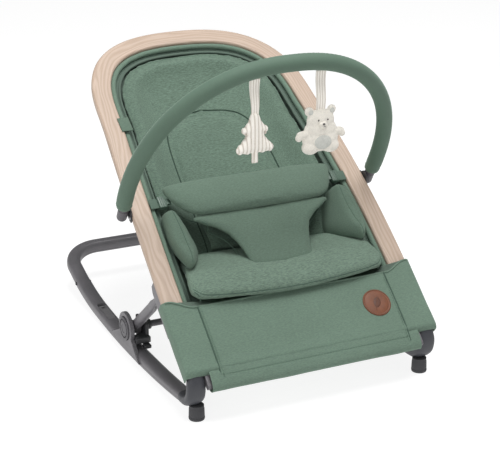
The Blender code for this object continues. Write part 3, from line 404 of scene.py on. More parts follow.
def side_block(side, x, y, z, bevel, segments=3, matrix=None):
    """A block from pairs of x, y and z, with x counted outward on either side of the seat."""
    return block(*zip(sorted(side * value for value in x), y, z), bevel, segments, matrix)


def ellipsoid(centre, radii, steps=20):
    bm = bmesh.new()
    place = Matrix.Translation(centre) @ Matrix.Diagonal((*radii, 1.0))
    bmesh.ops.create_uvsphere(bm, u_segments=steps * 2, v_segments=steps, radius=1.0, matrix=place)
    return solid_of(bm)


def joined(solids):
    """Several solids as one."""
    points = []
    faces = []
    for more_points, more_faces in solids:
        start = len(points)
        points.extend(more_points)
        faces.extend([i + start for i in face] for face in more_faces)
    return points, faces


def modify(piece, kind, **settings):
    modifier = piece.modifiers.new(kind.lower(), kind)
    for key, value in settings.items():
        setattr(modifier, key, value)
    return modifier


def baked(piece):
    """Applies a piece's modifiers."""
    graph = bpy.context.evaluated_depsgraph_get()
    mesh = bpy.data.meshes.new_from_object(piece.evaluated_get(graph))
    old = piece.data
    piece.modifiers.clear()
    piece.data = mesh
    bpy.data.meshes.remove(old)
    mesh.name = piece.name


def cut(piece, solid, operation='DIFFERENCE'):
    """Cuts or joins a piece with a solid, and removes the tool."""
    tool = make("cutting_tool", solid, (piece.data.materials[0], "grey_metal"), "base")
    modify(piece, 'BOOLEAN', operation=operation, solver='EXACT', object=tool)
    baked(piece)
    bpy.data.objects.remove(tool)


def edge_round(piece, width, segments=2, angle=35):
    modify(piece, 'BEVEL', width=width, segments=segments, limit_method='ANGLE',
           angle_limit=math.radians(angle), harden_normals=False)


def vectors(mesh, kind="co"):
    flat = np.empty(len(mesh.vertices) * 3)
    mesh.vertices.foreach_get(kind, flat)
    return flat.reshape(-1, 3)


def move_out(piece, amount):
    """Moves each point along its normal."""
    points = vectors(piece.data) + vectors(piece.data, "normal") * amount[:, None]
    set_points(piece, points)


def set_points(piece, points):
    piece.data.vertices.foreach_set("co", np.asarray(points, np.float32).ravel())
    piece.data.update()


def add_attribute(piece, name, kind, field, values):
    attribute = piece.data.attributes.new(name, kind, 'POINT')
    attribute.data.foreach_set(field, values.astype(np.float32).ravel())


# ---------------------------------------------------------------- padding
CLOTH_PRESSURE = 4.0
CLOTH_FRAMES = 20


def inflate(piece, cap, voxel):
    """Remeshes a closed shape as cloth, blows it up, and limits how far each point has moved."""
    modify(piece, 'REMESH', mode='VOXEL', voxel_size=voxel)
    baked(piece)
    rest = vectors(piece.data)
    cloth = modify(piece, 'CLOTH')
    cloth.settings.quality = 5
    cloth.settings.use_pressure = True
    cloth.settings.uniform_pressure_force = CLOTH_PRESSURE
    cloth.settings.effector_weights.gravity = 0.0
    cloth.point_cache.frame_start = 1
    cloth.point_cache.frame_end = CLOTH_FRAMES
    for number in range(1, CLOTH_FRAMES + 1):
        bpy.context.scene.frame_set(number)
    graph = bpy.context.evaluated_depsgraph_get()
    shift = vectors(piece.evaluated_get(graph).to_mesh()) - rest
    piece.modifiers.clear()
    bpy.context.scene.frame_set(1)
    length = np.linalg.norm(shift, axis=1)[:, None] + 1e-9
    set_points(piece, rest + shift / length * cap * np.tanh(length / cap))
    modify(piece, 'SUBSURF', levels=1, render_levels=1)
    baked(piece)
    piece.data.shade_smooth()


def rumple(piece, amount, scale, stretch=(1, 1, 1)):
    """Raises soft uneven undulations along the normals."""
    waves = [noise.noise(Vector(p * scale * stretch)) for p in vectors(piece.data)]
    move_out(piece, amount * np.array(waves))


def surface_of(piece):
    mesh = piece.data
    return BVHTree.FromPolygons([v.co for v in mesh.vertices], [p.vertices for p in mesh.polygons])


def lay_on(piece, points, directions, lift=0.0, reach=0.06):
    """Points moved along their directions on to a piece, looking down from above."""
    tree = surface_of(piece)
    result = []
    for point, direction in zip(points, directions):
        direction = Vector(direction).normalized()
        hit = tree.ray_cast(Vector(point) + direction * reach, -direction, 3 * reach)
        place = hit[0] if hit[0] is not None else Vector(point)
        result.append(tuple(place + direction * lift))
    return np.array(result)


def sew(piece, line, depth, width):
    """Presses a sewn channel into a piece along (x, s) pairs."""
    gap = distance_to_line(vectors(piece.data), lay_on(piece, *on_face(line, 0.0)))
    move_out(piece, -depth * np.exp(-(gap / width) ** 2))


def ringed_pad(outline, spine, thickness, height, edge, rings=40, middle=0.0):
    """A closed pad inside a closed (x, s) outline, drawn as rings that close in on a spine at x = middle.

    `height` gives the top face over (x, s); the pad rounds off within `edge` of its outline.
    """
    target = np.stack([np.full(len(outline), middle), np.clip(outline[:, 1], *spine)], axis=1)
    shares = (np.linspace(0, 1, rings) ** 1.35)[:, None, None] * 0.985
    flat = outline[None] * (1 - shares) + target[None] * shares
    border = resample(np.vstack([outline, outline[:1]]), 900)
    fall = dome(distance_to_line(flat.reshape(-1, 2), border).reshape(flat.shape[:2]) / edge)
    x, s = flat[..., 0], flat[..., 1]
    top = seat_points(x, s, height(x, s) - thickness / 2 * (1 - fall))
    low = seat_points(x, s, height(x, s) - thickness / 2 * (1 + fall))
    return skin(np.concatenate([low[::-1][:-1], top], axis=0))


def cushion(name, node, finish, fill, solid, cap, voxel, *ripples):
    """A padded piece blown up as cloth; each ripple is (amount, scale)."""
    piece = make(name, solid, finish, "seat", node, 180)
    inflate(piece, cap, voxel)
    for amount, scale in ripples:
        rumple(piece, amount, scale)
    return piece


# ---------------------------------------------------------------- materials
class Finish:
    """A material under construction."""

    def __init__(self, name, colour, roughness, metallic=0.0):
        self.material = bpy.data.materials.new(name)
        self.material.use_nodes = True
        self.nodes = self.material.node_tree.nodes
        self.links = self.material.node_tree.links
        self.shader = self.nodes["Principled BSDF"]
        self.colour = colour
        self.set("Base Color", (*colour, 1.0))
        self.set("Roughness", roughness)
        self.set("Metallic", metallic)

    def set(self, socket, value):
        self.shader.inputs[socket].default_value = value

    def feed(self, socket, value):
        self.links.new(value, self.shader.inputs[socket])

    def node(self, kind, inputs=None, **settings):
        made = self.nodes.new(kind)
        for key, value in settings.items():
            setattr(made, key, value)
        for key, value in (inputs or {}).items():
            if hasattr(value, "links"):
                self.links.new(value, made.inputs[key])
            else:
                made.inputs[key].default_value = value
        return made

    def place(self, scale=(1, 1, 1), turn=(0, 0, 0), source=None):
        """Coordinates in metres, turned and then scaled."""
        if source is None:
            source = self.node("ShaderNodeTexCoord").outputs["Object"]
        flat = self.node("ShaderNodeMapping", {"Vector": source, "Rotation": turn}).outputs[0]
        return self.node("ShaderNodeMapping", {"Vector": flat, "Scale": scale}).outputs[0]

    def noise(self, scale, detail=3.0, roughness=0.55, turn=(0, 0, 0), source=None):
        """Noise at one scale for all axes, or at one for each."""
        scale = scale if hasattr(scale, "__len__") else (scale, scale, scale)
        inputs = {"Vector": self.place(scale, turn, source), "Scale": 1.0, "Detail": detail,
                  "Roughness": roughness}
        return self.node("ShaderNodeTexNoise", inputs).outputs[0]

    def bands(self, vector, wavelength, direction, distortion=0.0):
        inputs = {"Vector": vector, "Scale": math.pi / 10 / wavelength, "Distortion": distortion,
                  "Detail": 1.0}
        return self.node("ShaderNodeTexWave", inputs, wave_type='BANDS', bands_direction=direction).outputs[1]

    def shades(self, value, low, high, start=0.3, end=0.7):
        """A colour running from `low` to `high` times the base as a value goes from start to end."""
        ramp = self.node("ShaderNodeValToRGB", {"Fac": value})
        for element, place, share in zip(ramp.color_ramp.elements, (start, end), (low, high)):
            element.position = place
            element.color = (*(np.broadcast_to(share, 3) * self.colour), 1.0)
        return ramp.outputs[0]

    def spread(self, value, low, high):
        """A value of 0.3 to 0.7 spread from `low` to `high`."""
        return self.node("ShaderNodeMapRange", {"Value": value, "From Min": 0.3, "From Max": 0.7,
                                                "To Min": low, "To Max": high}).outputs[0]

    def times(self, colour, value, low, high):
        """A colour made darker or lighter by a value between 0 and 1."""
        spread = self.spread(value, low, high)
        grey = self.node("ShaderNodeCombineColor", dict.fromkeys(("Red", "Green", "Blue"), spread)).outputs[0]
        mix = self.node("ShaderNodeMix", {0: 1.0, 6: colour, 7: grey}, data_type='RGBA',
                        blend_type='MULTIPLY')
        return mix.outputs[2]

    def add(self, a, b, share=1.0):
        scaled = self.node("ShaderNodeMath", {0: b, 1: share}, operation='MULTIPLY').outputs[0]
        return self.node("ShaderNodeMath", {0: a, 1: scaled}, operation='ADD').outputs[0]

    def bump(self, height, strength, distance):
        self.feed("Normal", self.node("ShaderNodeBump", {"Height": height, "Strength": strength,
                                                         "Distance": distance}).outputs[0])

    def sheen(self, weight, tint=(1, 1, 1), roughness=0.5):
        self.set("Sheen Weight", weight)
        self.set("Sheen Roughness", roughness)
        self.set("Sheen Tint", (*tint, 1.0))


def woven(name, colour, slub, weave=0.0011, strength=0.35, tilt=True, sheen=0.12, streak=(220, 800, 600)):
    """Cloth: fine crossed threads, streaky fibres of two shades, and a soft broad unevenness."""
    finish = Finish(name, colour, 0.9)
    turn = (-SEAT_TILT + 0.06, 0, 0) if tilt else (0, 0, 0)
    flat = finish.place(turn=turn)
    streaks = finish.noise(streak, 4.0, 0.65, turn)
    tone = finish.shades(streaks, 1 - slub, 1 + slub, 0.36, 0.64)
    tone = finish.times(tone, finish.noise(1500, 2.0, turn=turn), 0.93, 1.07)
    finish.feed("Base Color", finish.times(tone, finish.noise(9, 2.0), 0.965, 1.035))
    threads = finish.add(finish.bands(flat, weave, 'X', 0.6), finish.bands(flat, weave, 'Y', 0.6))
    finish.bump(finish.add(threads, streaks, 1.6), strength, 0.00035)
    finish.feed("Roughness", finish.spread(streaks, 0.84, 0.96))
    finish.sheen(sheen, (0.75, 0.92, 0.80))
    return finish.material, "sage_fabric"


def ribbed_webbing(name, colour):
    finish = Finish(name, colour, 0.8)
    flat = finish.place(turn=(-SEAT_TILT, 0, 0))
    ribs = finish.bands(flat, 0.0016, 'Y')
    finish.feed("Base Color", finish.shades(ribs, 0.82, 1.1))
    finish.bump(finish.add(ribs, finish.bands(flat, 0.0009, 'X'), 0.5), 0.5, 0.0004)
    finish.sheen(0.1)
    return finish.material, "sage_fabric"


def corduroy(name, colour, groove_shade):
    """Cream cord cloth; the `rib` attribute is 0 in the grooves and 1 on a rib, and the darker tone in the
    grooves is painted shade.
    """
    finish = Finish(name, colour, 0.95)
    rib = finish.node("ShaderNodeAttribute", attribute_name="rib").outputs["Fac"]
    pile = finish.noise((900, 900, 500))
    tone = finish.shades(rib, np.divide(groove_shade, colour), 1.0, 0.10, 0.62)
    finish.feed("Base Color", finish.times(tone, pile, 0.94, 1.05))
    finish.bump(pile, 0.5, 0.0006)
    finish.sheen(0.35)
    return finish.material, "cream_fabric"


def oak(name, colour):
    """Pale veneer; the `grain` attribute holds metres along, across and through the rim."""
    finish = Finish(name, colour, 0.5)
    grain = finish.node("ShaderNodeAttribute", attribute_name="grain").outputs["Vector"]
    waver = finish.noise((4.5, 26, 26), 2.0, source=grain)
    bent = finish.node("ShaderNodeMixRGB", {"Fac": 0.045, "Color1": grain, "Color2": waver}, blend_type='ADD')
    rings = finish.bands(finish.place((0.35, 1, 1), source=bent.outputs[0]), 0.0062, 'Y', 2.2)
    fibres = finish.noise((22, 900, 900), 4.0, 0.6, source=grain)
    pores = finish.noise((75, 1900, 1900), 2.0, source=grain)
    broad = finish.noise((5, 40, 40), 2.0, source=grain)
    tone = finish.shades(rings, (0.89, 0.86, 0.83), 1.02, 0.10, 0.80)
    for value, low, high in ((fibres, 0.93, 1.06), (broad, 0.95, 1.05), (pores, 0.95, 1.03)):
        tone = finish.times(tone, value, low, high)
    finish.feed("Base Color", tone)
    finish.bump(finish.add(fibres, pores, 0.7), 0.16, 0.0003)
    finish.feed("Roughness", finish.spread(fibres, 0.44, 0.60))
    finish.set("Specular IOR Level", 0.4)
    return finish.material, "oak"


def grained(name, slot, colour, roughness, grain, cloud, bump, metallic=0.0, sheen=None, detail=(3.0, 0.55),
            cloud_detail=3.0, cloud_bump=0.0, rough=None, pebbles=None):
    """Fine grain over broad clouds, each (scale, darkest, lightest); `rough` is (clouds?, low, high)."""
    finish = Finish(name, colour, roughness, metallic)
    fine = finish.noise(grain[0], *detail)
    broad = finish.noise(cloud[0], cloud_detail)
    finish.feed("Base Color", finish.times(finish.shades(fine, *grain[1:]), broad, *cloud[1:]))
    height = finish.add(fine, broad, cloud_bump) if cloud_bump else fine
    if pebbles:
        cells = finish.node("ShaderNodeTexVoronoi", {"Vector": finish.place((pebbles,) * 3), "Scale": 1.0},
                            feature='DISTANCE_TO_EDGE').outputs[0]
        height = finish.add(cells, fine, 0.8)
    finish.bump(height, *bump)
    if rough:
        finish.feed("Roughness", finish.spread(broad if rough[0] else fine, roughness + rough[1],
                                               roughness + rough[2]))
    if sheen:
        finish.sheen(*sheen)
    return finish.material, slot


def plush(name, colour):
    return grained(name, "cream_fabric", colour, 1.0, (420, 0.86, 1.06), (120, 0.96, 1.03), (0.9, 0.0011),
                   sheen=(0.4,), detail=(5.0, 0.7), cloud_bump=1.5)


def moulded(name, slot, colour, roughness):
    """Spark-textured plastic."""
    return grained(name, slot, colour, roughness, (2200, 0.88, 1.12), (60, 0.94, 1.08), (0.2, 0.0002),
                   cloud_detail=4.0, rough=(True, -0.07, 0.08))


def hide(name, colour):
    """Leather: fine pebbled grain with a warm uneven dye."""
    return grained(name, "leather", colour, 0.6, (300, 0.86, 1.14), (60, 0.90, 1.10), (0.45, 0.0004),
                   detail=(4.0, 0.55), rough=(False, -0.1, 0.08), pebbles=850)


HEATHER_CLOTH = {"weave": 0.0013, "strength": 0.5, "streak": (160, 820, 700)}
SEWING_THREAD = {"tilt": False, "sheen": 0.0}
FABRIC = woven("sage_weave", (0.128, 0.194, 0.146), 0.15)
BELT_FABRIC = woven("sage_twill", (0.102, 0.156, 0.116), 0.16)
HEATHER = woven("sage_heather", (0.108, 0.166, 0.124), 0.34, **HEATHER_CLOTH)
MELANGE = woven("sage_melange", (0.134, 0.198, 0.150), 0.30, **HEATHER_CLOTH)
# SHADOW_CLOTH is painted shade: a dark sage for the cords laid along seams and gaps, standing for the shade in
# them.
SHADOW_CLOTH = woven("shadow_sage_weave", (0.060, 0.105, 0.076), 0.10)
# The next cloth is painted shade: a darker sage for the cloth that shows in the gaps under and between the
# pads.
UNDER_CLOTH_SHADE = woven("underside_shade_weave", (0.085, 0.125, 0.098), 0.08)
# SEAM is painted shade: a near-black sage for the cords that stand for the shaded groove along a seam.
SEAM = woven("seam_shadow_cord", (0.028, 0.056, 0.038), 0.05, **SEWING_THREAD)
THREAD = woven("sewing_thread", (0.10, 0.165, 0.12), 0.05, **SEWING_THREAD)
WEBBING = ribbed_webbing("sage_webbing", (0.080, 0.130, 0.096))
SLEEVE = grained("sleeve_jersey", "sleeve_fabric", (0.087, 0.143, 0.103), 0.8, (700, 0.93, 1.07),
                 (14, 0.96, 1.04), (0.22, 0.0003), sheen=(0.25, (0.7, 0.9, 0.78), 0.4), cloud_detail=2.0,
                 rough=(False, -0.1, 0.05))
OAK = oak("pale_oak", (0.480, 0.375, 0.300))
GREY = grained("grey_satin_paint", "grey_metal", (0.150, 0.144, 0.154), 0.42, (1600, 0.93, 1.07),
               (30, 0.95, 1.06), (0.10, 0.0002), metallic=0.15, detail=(2.0, 0.55), rough=(True, -0.06, 0.08))
FLAP_GREY = moulded("flap_grey_plastic", "charcoal_plastic", (0.190, 0.184, 0.192), 0.45)
LEG_GREY = moulded("leg_grey_plastic", "grey_metal", (0.046, 0.048, 0.056), 0.5)
CHARCOAL = moulded("charcoal_plastic", "charcoal_plastic", (0.038, 0.038, 0.041), 0.5)
CAP_GREY = moulded("grey_plastic", "grey_plastic", (0.088, 0.084, 0.092), 0.42)
GREEN_PLASTIC = moulded("sage_plastic", "sage_plastic", (0.066, 0.112, 0.082), 0.42)
RUBBER = moulded("dark_rubber", "rubber", (0.050, 0.050, 0.054), 0.75)
STEEL = grained("brushed_steel", "steel", (0.50, 0.50, 0.51), 0.35, ((100, 2500, 2500), 0.88, 1.08),
                (60, 1.0, 1.0), (0.1, 0.0001), metallic=1.0, detail=(2.0, 0.55), rough=(False, -0.07, 0.07))
LEATHER = hide("brown_leather", (0.165, 0.057, 0.025))
LEATHER_DEEP = hide("brown_leather_pressed", (0.095, 0.034, 0.018))
# The second colour is painted shade in the grooves between the ribs.
CORD = corduroy("cream_corduroy", (0.91, 0.87, 0.80), (0.58, 0.52, 0.45))
PLUSH = plush("cream_plush", (0.83, 0.79, 0.71))
BELLY = plush("grey_plush", (0.61, 0.615, 0.57))
FACE_THREAD = plush("grey_face_thread", (0.10, 0.09, 0.085))


# ---------------------------------------------------------------- sewing
def stitches(name, line, up, finish, length, gap, radius):
    """A row of thread stitches lying along a line."""
    count = max(int(travelled(line)[-1] / (length + gap)), 2)
    dense = resample(line, count * 4 + 1)
    solids = []
    for k in range(count):
        part = resample(dense[4 * k:4 * k + 4], 4)
        centre = part.mean(axis=0)
        part = centre + (part - centre) * (length / max(np.linalg.norm(part[-1] - part[0]), 1e-6))
        part = part + np.asarray(up) * np.array([-0.4, 1, 1, -0.4])[:, None] * radius
        solids.append(skin(sweep(part, circle(radius, 6), up)))
    make(name, joined(solids), finish)


def piping(name, piece, line, radius, lift, finish=SHADOW_CLOTH):
    """A thin cord sewn on a piece along (x, s) pairs; its dark default cloth is painted shade along the seam.
    """
    tube(name, smoothed(lay_on(piece, *on_face(line, 0.0), lift, 0.09), 3), radius, finish, 10)


def thread_row(name, piece, line):
    points, up = on_face(line, 0.0)
    laid = smoothed(lay_on(piece, points, up, 0.0002, 0.09), 3)
    stitches(name, laid, up[len(up) // 2], THREAD, 0.0034, 0.0018, 0.00042)


# ---------------------------------------------------------------- rocker base
def at(x, y, z):
    """A point given from the middle of the front feet."""
    return (x, FEET_Y + y, z)


def rail_height(y):
    return RAIL_FRONT_HEIGHT + (RAIL_HEIGHT - RAIL_FRONT_HEIGHT) * smooth_step(y / 0.25)


def rail_middle(y):
    """Height of the rail's middle above the floor, on the rocker's curve."""
    return (y - 0.30) ** 2 / 4.0 + 0.80 * np.maximum(0.0, y - 0.45) ** 2 + rail_height(y) / 2


def grooved_section(y, side):
    """Rail section: a squarish oval with a shallow line along its outer face on the front half."""
    section = oval(float(rail_height(y)), RAIL_WIDTH, 96, 2.6)
    depth = 0.0011 * smooth_step((y - 0.045) / 0.02) * smooth_step((0.215 - y) / 0.02)
    outer = np.exp(-(section[:, 0] / 0.0010) ** 2) * (section[:, 1] * side > 0)
    section[:, 1] -= side * depth * outer
    return section


def rail(side, name):
    stations = np.linspace(RAIL_START, RAIL_END, 130)
    line = [at(side * RAIL_X, y, float(rail_middle(y))) for y in stations]
    rings = sweep(line, [grooved_section(y, side) for y in stations], ACROSS)
    piece = make(f"rocker_rail_{name}", skin(rings), GREY, "base", f"rail_{name}")
    low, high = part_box(f"parking_foot_{name}")
    cut(piece, block((low.x - 0.0006, low.y - 0.0035, -0.01), (high.x + 0.0006, high.y + 0.001, 0.08), 0.003))
    edge_round(piece, 0.0007)


def cheek(side, name):
    """The upright plate beside the strut, with the round recess of the dial."""
    turn = np.radians(np.linspace(-24, 204, 40))
    top = [(HUB.y - FEET_Y + CHEEK_RADIUS * math.cos(a), HUB.z + CHEEK_RADIUS * math.sin(a)) for a in turn]
    rear = smooth_curve([top[0], (0.307, 0.040), (0.330, 0.0285), (0.352, 0.016)], 14)[1:]
    front = smooth_curve([(0.206, 0.012), (0.224, 0.026), (0.2375, 0.038), top[-1]], 14)[:-1]
    outline = [*rear[::-1], *top, *front[::-1]]
    rings = [[at(side * x, y, z) for y, z in outline] for x in (CHEEK_INNER, CHEEK_OUTER)]
    piece = make(f"hub_cheek_{name}", skin(rings), GREY, "base")
    edge_round(piece, 0.0022, 4, 50)
    baked(piece)
    cut(piece, turned(pin(0.0222, 0.02), (side * 0.2304, HUB.y, HUB.z), (side, 0, 0), 64))
    edge_round(piece, 0.0005, 2, 50)


def hub_marks(count, x, radius, low, high, bevel):
    """Small blocks in a circle round the hub's axis."""
    marks = []
    for angle in 2 * math.pi * np.arange(count) / count:
        middle = Vector((x, HUB.y + radius * math.cos(angle), HUB.z + radius * math.sin(angle)))
        place = Matrix.Translation(middle) @ Matrix.Rotation(float(angle), 4, 'X')
        marks.append(block(low, high, bevel, 1, place))
    return joined(marks)


DIAL_PROFILE = ((0.0212, 0.0048), (0.0214, 0.0016), (0.0202, 0.0003), (0.0180, 0.0), (0.0172, 0.0009),
                (0.0150, 0.0009), (0.0142, 0.0), (0.0085, -0.0003), (0.0078, 0.0005), (0.0030, 0.0006),
                (0.0004, 0.0006))
COLLAR_PROFILE = ((0.0063, 0), (0.0090, 0), (0.0098, 0.0008), (0.0098, 0.0042), (0.0088, 0.0048),
                  (0.0088, 0.0060), (0.0094, 0.0066), (0.0094, 0.0110), (0.0086, 0.0120), (0.0063, 0.0120))


def hub(side, name):
    """Dial button, housing, catch and collar."""
    face = side * (CHEEK_OUTER + 0.0028)
    dial = turned(DIAL_PROFILE, (face, HUB.y, HUB.z), (-side, 0, 0), 72)
    button = f"hub_button_{name}"
    make(f"hub_dial_{name}", dial, CAP_GREY, button, button, 40)
    ticks = hub_marks(24, face + side * 0.0001, 0.0161, (-0.0009, -0.0011, -0.0003), (0.0003, 0.0011, 0.0003),
                      0.0001)
    make(f"hub_dial_ticks_{name}", ticks, CAP_GREY, button)

    plate = side_block(side, (CASE_INNER, CASE_INNER + 0.0072), (FEET_Y + 0.2440, FEET_Y + 0.2950),
                       (0.0278, 0.0700), 0.0028, 4)
    housing = make(f"hub_case_{name}", plate, CHARCOAL, "base", f"hub_housing_{name}")
    cut(housing, side_block(side, (CASE_INNER, 0.2270), (FEET_Y + 0.2360, FEET_Y + 0.2570),
                            (0.0366, 0.0479), 0.0018), 'UNION')
    cut(housing, turned(pin(0.0054, 0.02), (side * 0.21, HUB.y, HUB.z), (-side, 0, 0), 40))
    edge_round(housing, 0.0005, 2, 30)
    ribs = [side_block(side, (0.2005, 0.2255), (y, y + 0.0012), (0.0472, 0.0485), 0.0004, 1)
            for y in FEET_Y + 0.2395 + 0.003 * np.arange(5)]
    make(f"hub_case_ribs_{name}", joined(ribs), CHARCOAL, "base")

    low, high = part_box(f"fold_catch_{name}")
    catch = [block(low, high, 0.0016)]
    for z in low.z + 0.0018 + 0.0016 * np.arange(3):
        catch.append(block((low.x + 0.002, low.y - 0.0004, z), (high.x - 0.002, low.y + 0.001, z + 0.0007),
                           0.0002, 1))
    make(f"fold_catch_button_{name}", joined(catch), CHARCOAL, f"fold_catch_{name}", f"fold_catch_{name}")
    collar = turned(COLLAR_PROFILE, (side * (CASE_INNER - 0.0005), HUB.y, HUB.z), (-side, 0, 0), 48)
    make(f"tube_collar_{name}", collar, CHARCOAL, "recline_struts", f"cross_tube_collar_{name}")


LEG_SHARES = 70
FOOT_PROFILE = ((0.0003, 0.0), (0.0112, 0.0), (0.0130, 0.0008), (0.0136, 0.0028), (0.0136, 0.0052),
                (0.0130, 0.0058), (0.0130, 0.0066), (0.0134, 0.0072), (0.0130, 0.0200), (0.0124, 0.0225),
                (0.0124, 0.0262), (0.0108, 0.0272), (0.0003, 0.0272))
BOLT_PROFILE = ((0.0005, 0.0002), (0.0058, 0.0), (0.0072, 0.0006), (0.0075, 0.0020), (0.0041, 0.0022),
                (0.0041, 0.0420), (0.0005, 0.0425))


def front_leg(side, name):
    """The elbow up to the seat's pivot, with its rubber foot and pivot bolt."""
    start = float(rail_middle(RAIL_START))
    path = [(RAIL_START, start), (0.026, start + 0.0009), (0.013, 0.0310), (0.0020, 0.0365),
            (-0.0065, 0.0460), (-0.0100, 0.0610), (-0.0075, 0.0740), (-0.0010, 0.0850),
            (PIVOT.y - FEET_Y, PIVOT.z)]
    line = smooth_curve([at(side * RAIL_X, y, z) for y, z in path], LEG_SHARES)
    share = np.linspace(0, 1, LEG_SHARES)
    width = RAIL_WIDTH + 0.005 * np.sin(math.pi * share) - 0.006 * smooth_step((share * 14 - 9) / 5)
    sections = [oval(RAIL_FRONT_HEIGHT - 0.0025 * t, w, 64, 2.8) for t, w in zip(share, width)]
    piece = make(f"leg_elbow_{name}", skin(sweep(line, sections, ACROSS)), LEG_GREY, "base",
                 f"front_leg_{name}")
    outward = (side, 0, 0)
    cut(piece, turned(boss(0.0095, 0.0245, 0.0016), (side * (RAIL_X - 0.0135), PIVOT.y, PIVOT.z), outward),
        'UNION')
    cut(piece, turned(pin(0.0085, 0.02), (side * (RAIL_X + 0.0095), PIVOT.y, PIVOT.z), outward))
    edge_round(piece, 0.0006, 2, 50)

    seam = [at(side * RAIL_X, 0.0335 + step, start) for step in (-0.0007, 0.0007)]
    section = oval(RAIL_FRONT_HEIGHT - 0.0006, RAIL_WIDTH - 0.0006, 64, 2.7)
    make(f"leg_joint_ring_{name}", skin(sweep(seam, section, ACROSS)), CHARCOAL, "base")
    foot = turned(FOOT_PROFILE, (side * (RAIL_X - 0.005), FEET_Y, 0), UP, 64)
    make(f"rubber_foot_{name}", foot, RUBBER, "base", f"front_foot_{name}", 50)
    head = Vector((side * (RAIL_X + 0.0136), PIVOT.y, PIVOT.z))
    bolt = make(f"seat_pivot_bolt_{name}", turned(BOLT_PROFILE, head, (-side, 0, 0)), STEEL, "base",
                f"pivot_bolt_{name}", 40)
    cut(bolt, turned(pin(0.0032, 0.0035), head + Vector((side * 0.002, 0, 0)), (-side, 0, 0), 6))


def rear_bow():
    """The tube behind the seat, rising through its corners, with the tabs where it joins the rails."""
    corner_y, corner, top_z = 0.592, 0.066, 0.064
    points = [at(-RAIL_X, y, float(rail_middle(y))) for y in np.linspace(0.5455, corner_y, 14)[:-1]]
    start_z = float(rail_middle(corner_y))
    for turn in np.linspace(0, math.pi / 2, 36):
        points.append(at(-RAIL_X + corner * (1 - math.cos(turn)), corner_y + corner * math.sin(turn),
                         start_z + (top_z - start_z) * math.sin(turn)))
    last = points[-1]
    points += [(last[0] * (1 - i / 10), last[1], last[2]) for i in range(1, 10)]
    line = points + [(0, last[1], last[2])] + [(-x, y, z) for x, y, z in reversed(points)]
    section = oval(RAIL_WIDTH - 0.0006, RAIL_HEIGHT - 0.0006, 96, 2.5)
    section[:, 0] *= 1 - 0.085 * np.exp(-((section[:, 1] + 0.0062) / 0.0009) ** 2)
    make("rear_bow", skin(sweep(line, section, UP)), GREY, "base", "rear_tube")
    joint_y = 0.5490
    half = Vector((0.0013, 0.0030, 0.0030))
    for name, side in SIDES:
        middles = [Vector(at(side * RAIL_X + step, joint_y, float(rail_middle(joint_y))))
                   for step in (-0.0143, 0.0143)]
        make(f"bow_joint_tabs_{name}", joined([block(m - half, m + half, 0.0008) for m in middles]), CHARCOAL,
             "base")


def parking_foot(side, name):
    """A flap stowed in the rail, drawn to the rail's curve and notched for a finger."""
    low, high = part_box(f"parking_foot_{name}")
    _, y, z = JOINTS[f"parking_foot_{name}_flip"]["pos_m"]
    edge = RAIL_HEIGHT / 2 - 0.0012
    top = [(a, float(rail_middle(a - FEET_Y)) + edge) for a in np.linspace(low.y + 0.0005, y, 12)]
    top[0] = (top[0][0], top[0][1] - 0.0022)
    outline = top + [(y + 0.0055, top[-1][1] - 0.0030), (y + 0.0078, z), (y + 0.0052, z - 0.0062),
                     (y - 0.003, z - 0.0074), (y - 0.012, top[8][1] - 0.0100),
                     (low.y + 0.004, top[0][1] - 0.0085),
                     (low.y + 0.0005, top[0][1] - 0.0050)]
    rings = [[(x, *point) for point in outline] for x in (low.x, high.x)]
    piece = make(f"parking_flap_{name}", skin(rings), FLAP_GREY, f"parking_foot_{name}",
                 f"parking_foot_{name}")
    x, notch_z = side * RAIL_X, top[9][1]
    cut(piece, block((x - 0.0042, y - 0.0130, notch_z - 0.0026), (x + 0.0042, y - 0.0050, notch_z + 0.01),
                     0.0014))
    edge_round(piece, 0.0008, 3, 30)


STRUT_NECK_START, STRUT_NECK_LENGTH = 0.66, 0.12


def struts():
    """The two struts, narrowing under the rim, with the tube that joins them."""
    for name, side in SIDES:
        hub_point = np.array((side * STRUT_X, HUB.y, HUB.z))
        top = np.array(seat_point(side * STRUT_X, 0.165, -0.030))
        length = np.linalg.norm(top - hub_point)
        distance = np.concatenate([np.linspace(0.004, 0.64 * length, 12),
                                   np.linspace(0.66 * length, length, 30),
                                   [length + 0.003, length + 0.0045]])
        share = distance / length
        neck = smooth_step((share - STRUT_NECK_START) / STRUT_NECK_LENGTH)
        tip = smooth_step((share - 1) / 0.035)
        height = STRUT_WIDTH * (1 - 0.44 * smooth_step((share - 0.67) / 0.29)) * (1 - 0.6 * tip)
        width = STRUT_WIDTH * (1 - 0.55 * neck) * (1 - 0.3 * tip)
        line = (hub_point + distance[:, None] * ((top - hub_point) / length)
                + neck[:, None] * np.array((side * 0.0050, 0, 0)))
        rings = sweep(line, [oval(h, w, 40, 2.1) for h, w in zip(height, width)], ACROSS)
        piece = make(f"recline_strut_{name}", skin(rings), GREY, "recline_struts", f"strut_{name}")
        cut(piece, turned(boss(0.0122, 0.0180, 0.0012), (side * (STRUT_X - 0.009), HUB.y, HUB.z),
                          (side, 0, 0), 64), 'UNION')
        edge_round(piece, 0.0005, 2, 50)
        teeth = hub_marks(28, side * (STRUT_X - 0.0092), 0.0105, (-0.0008, -0.0016, -0.0005),
                          (0.0008, 0.0016, 0.0005), 0.0002)
        make(f"strut_teeth_{name}", teeth, CHARCOAL, "recline_struts")
    half = STRUT_X - 0.0093
    line = [(x, HUB.y, HUB.z) for x in np.linspace(-half, half, 30)]
    make("strut_cross_tube", skin(sweep(line, circle(0.0060, 40), UP)), CAP_GREY, "recline_struts",
         "cross_tube")


# ---------------------------------------------------------------- seat frame
def seat_rings(line, n, section):
    points, up = on_face(line, n)
    return sweep(points, section, up)


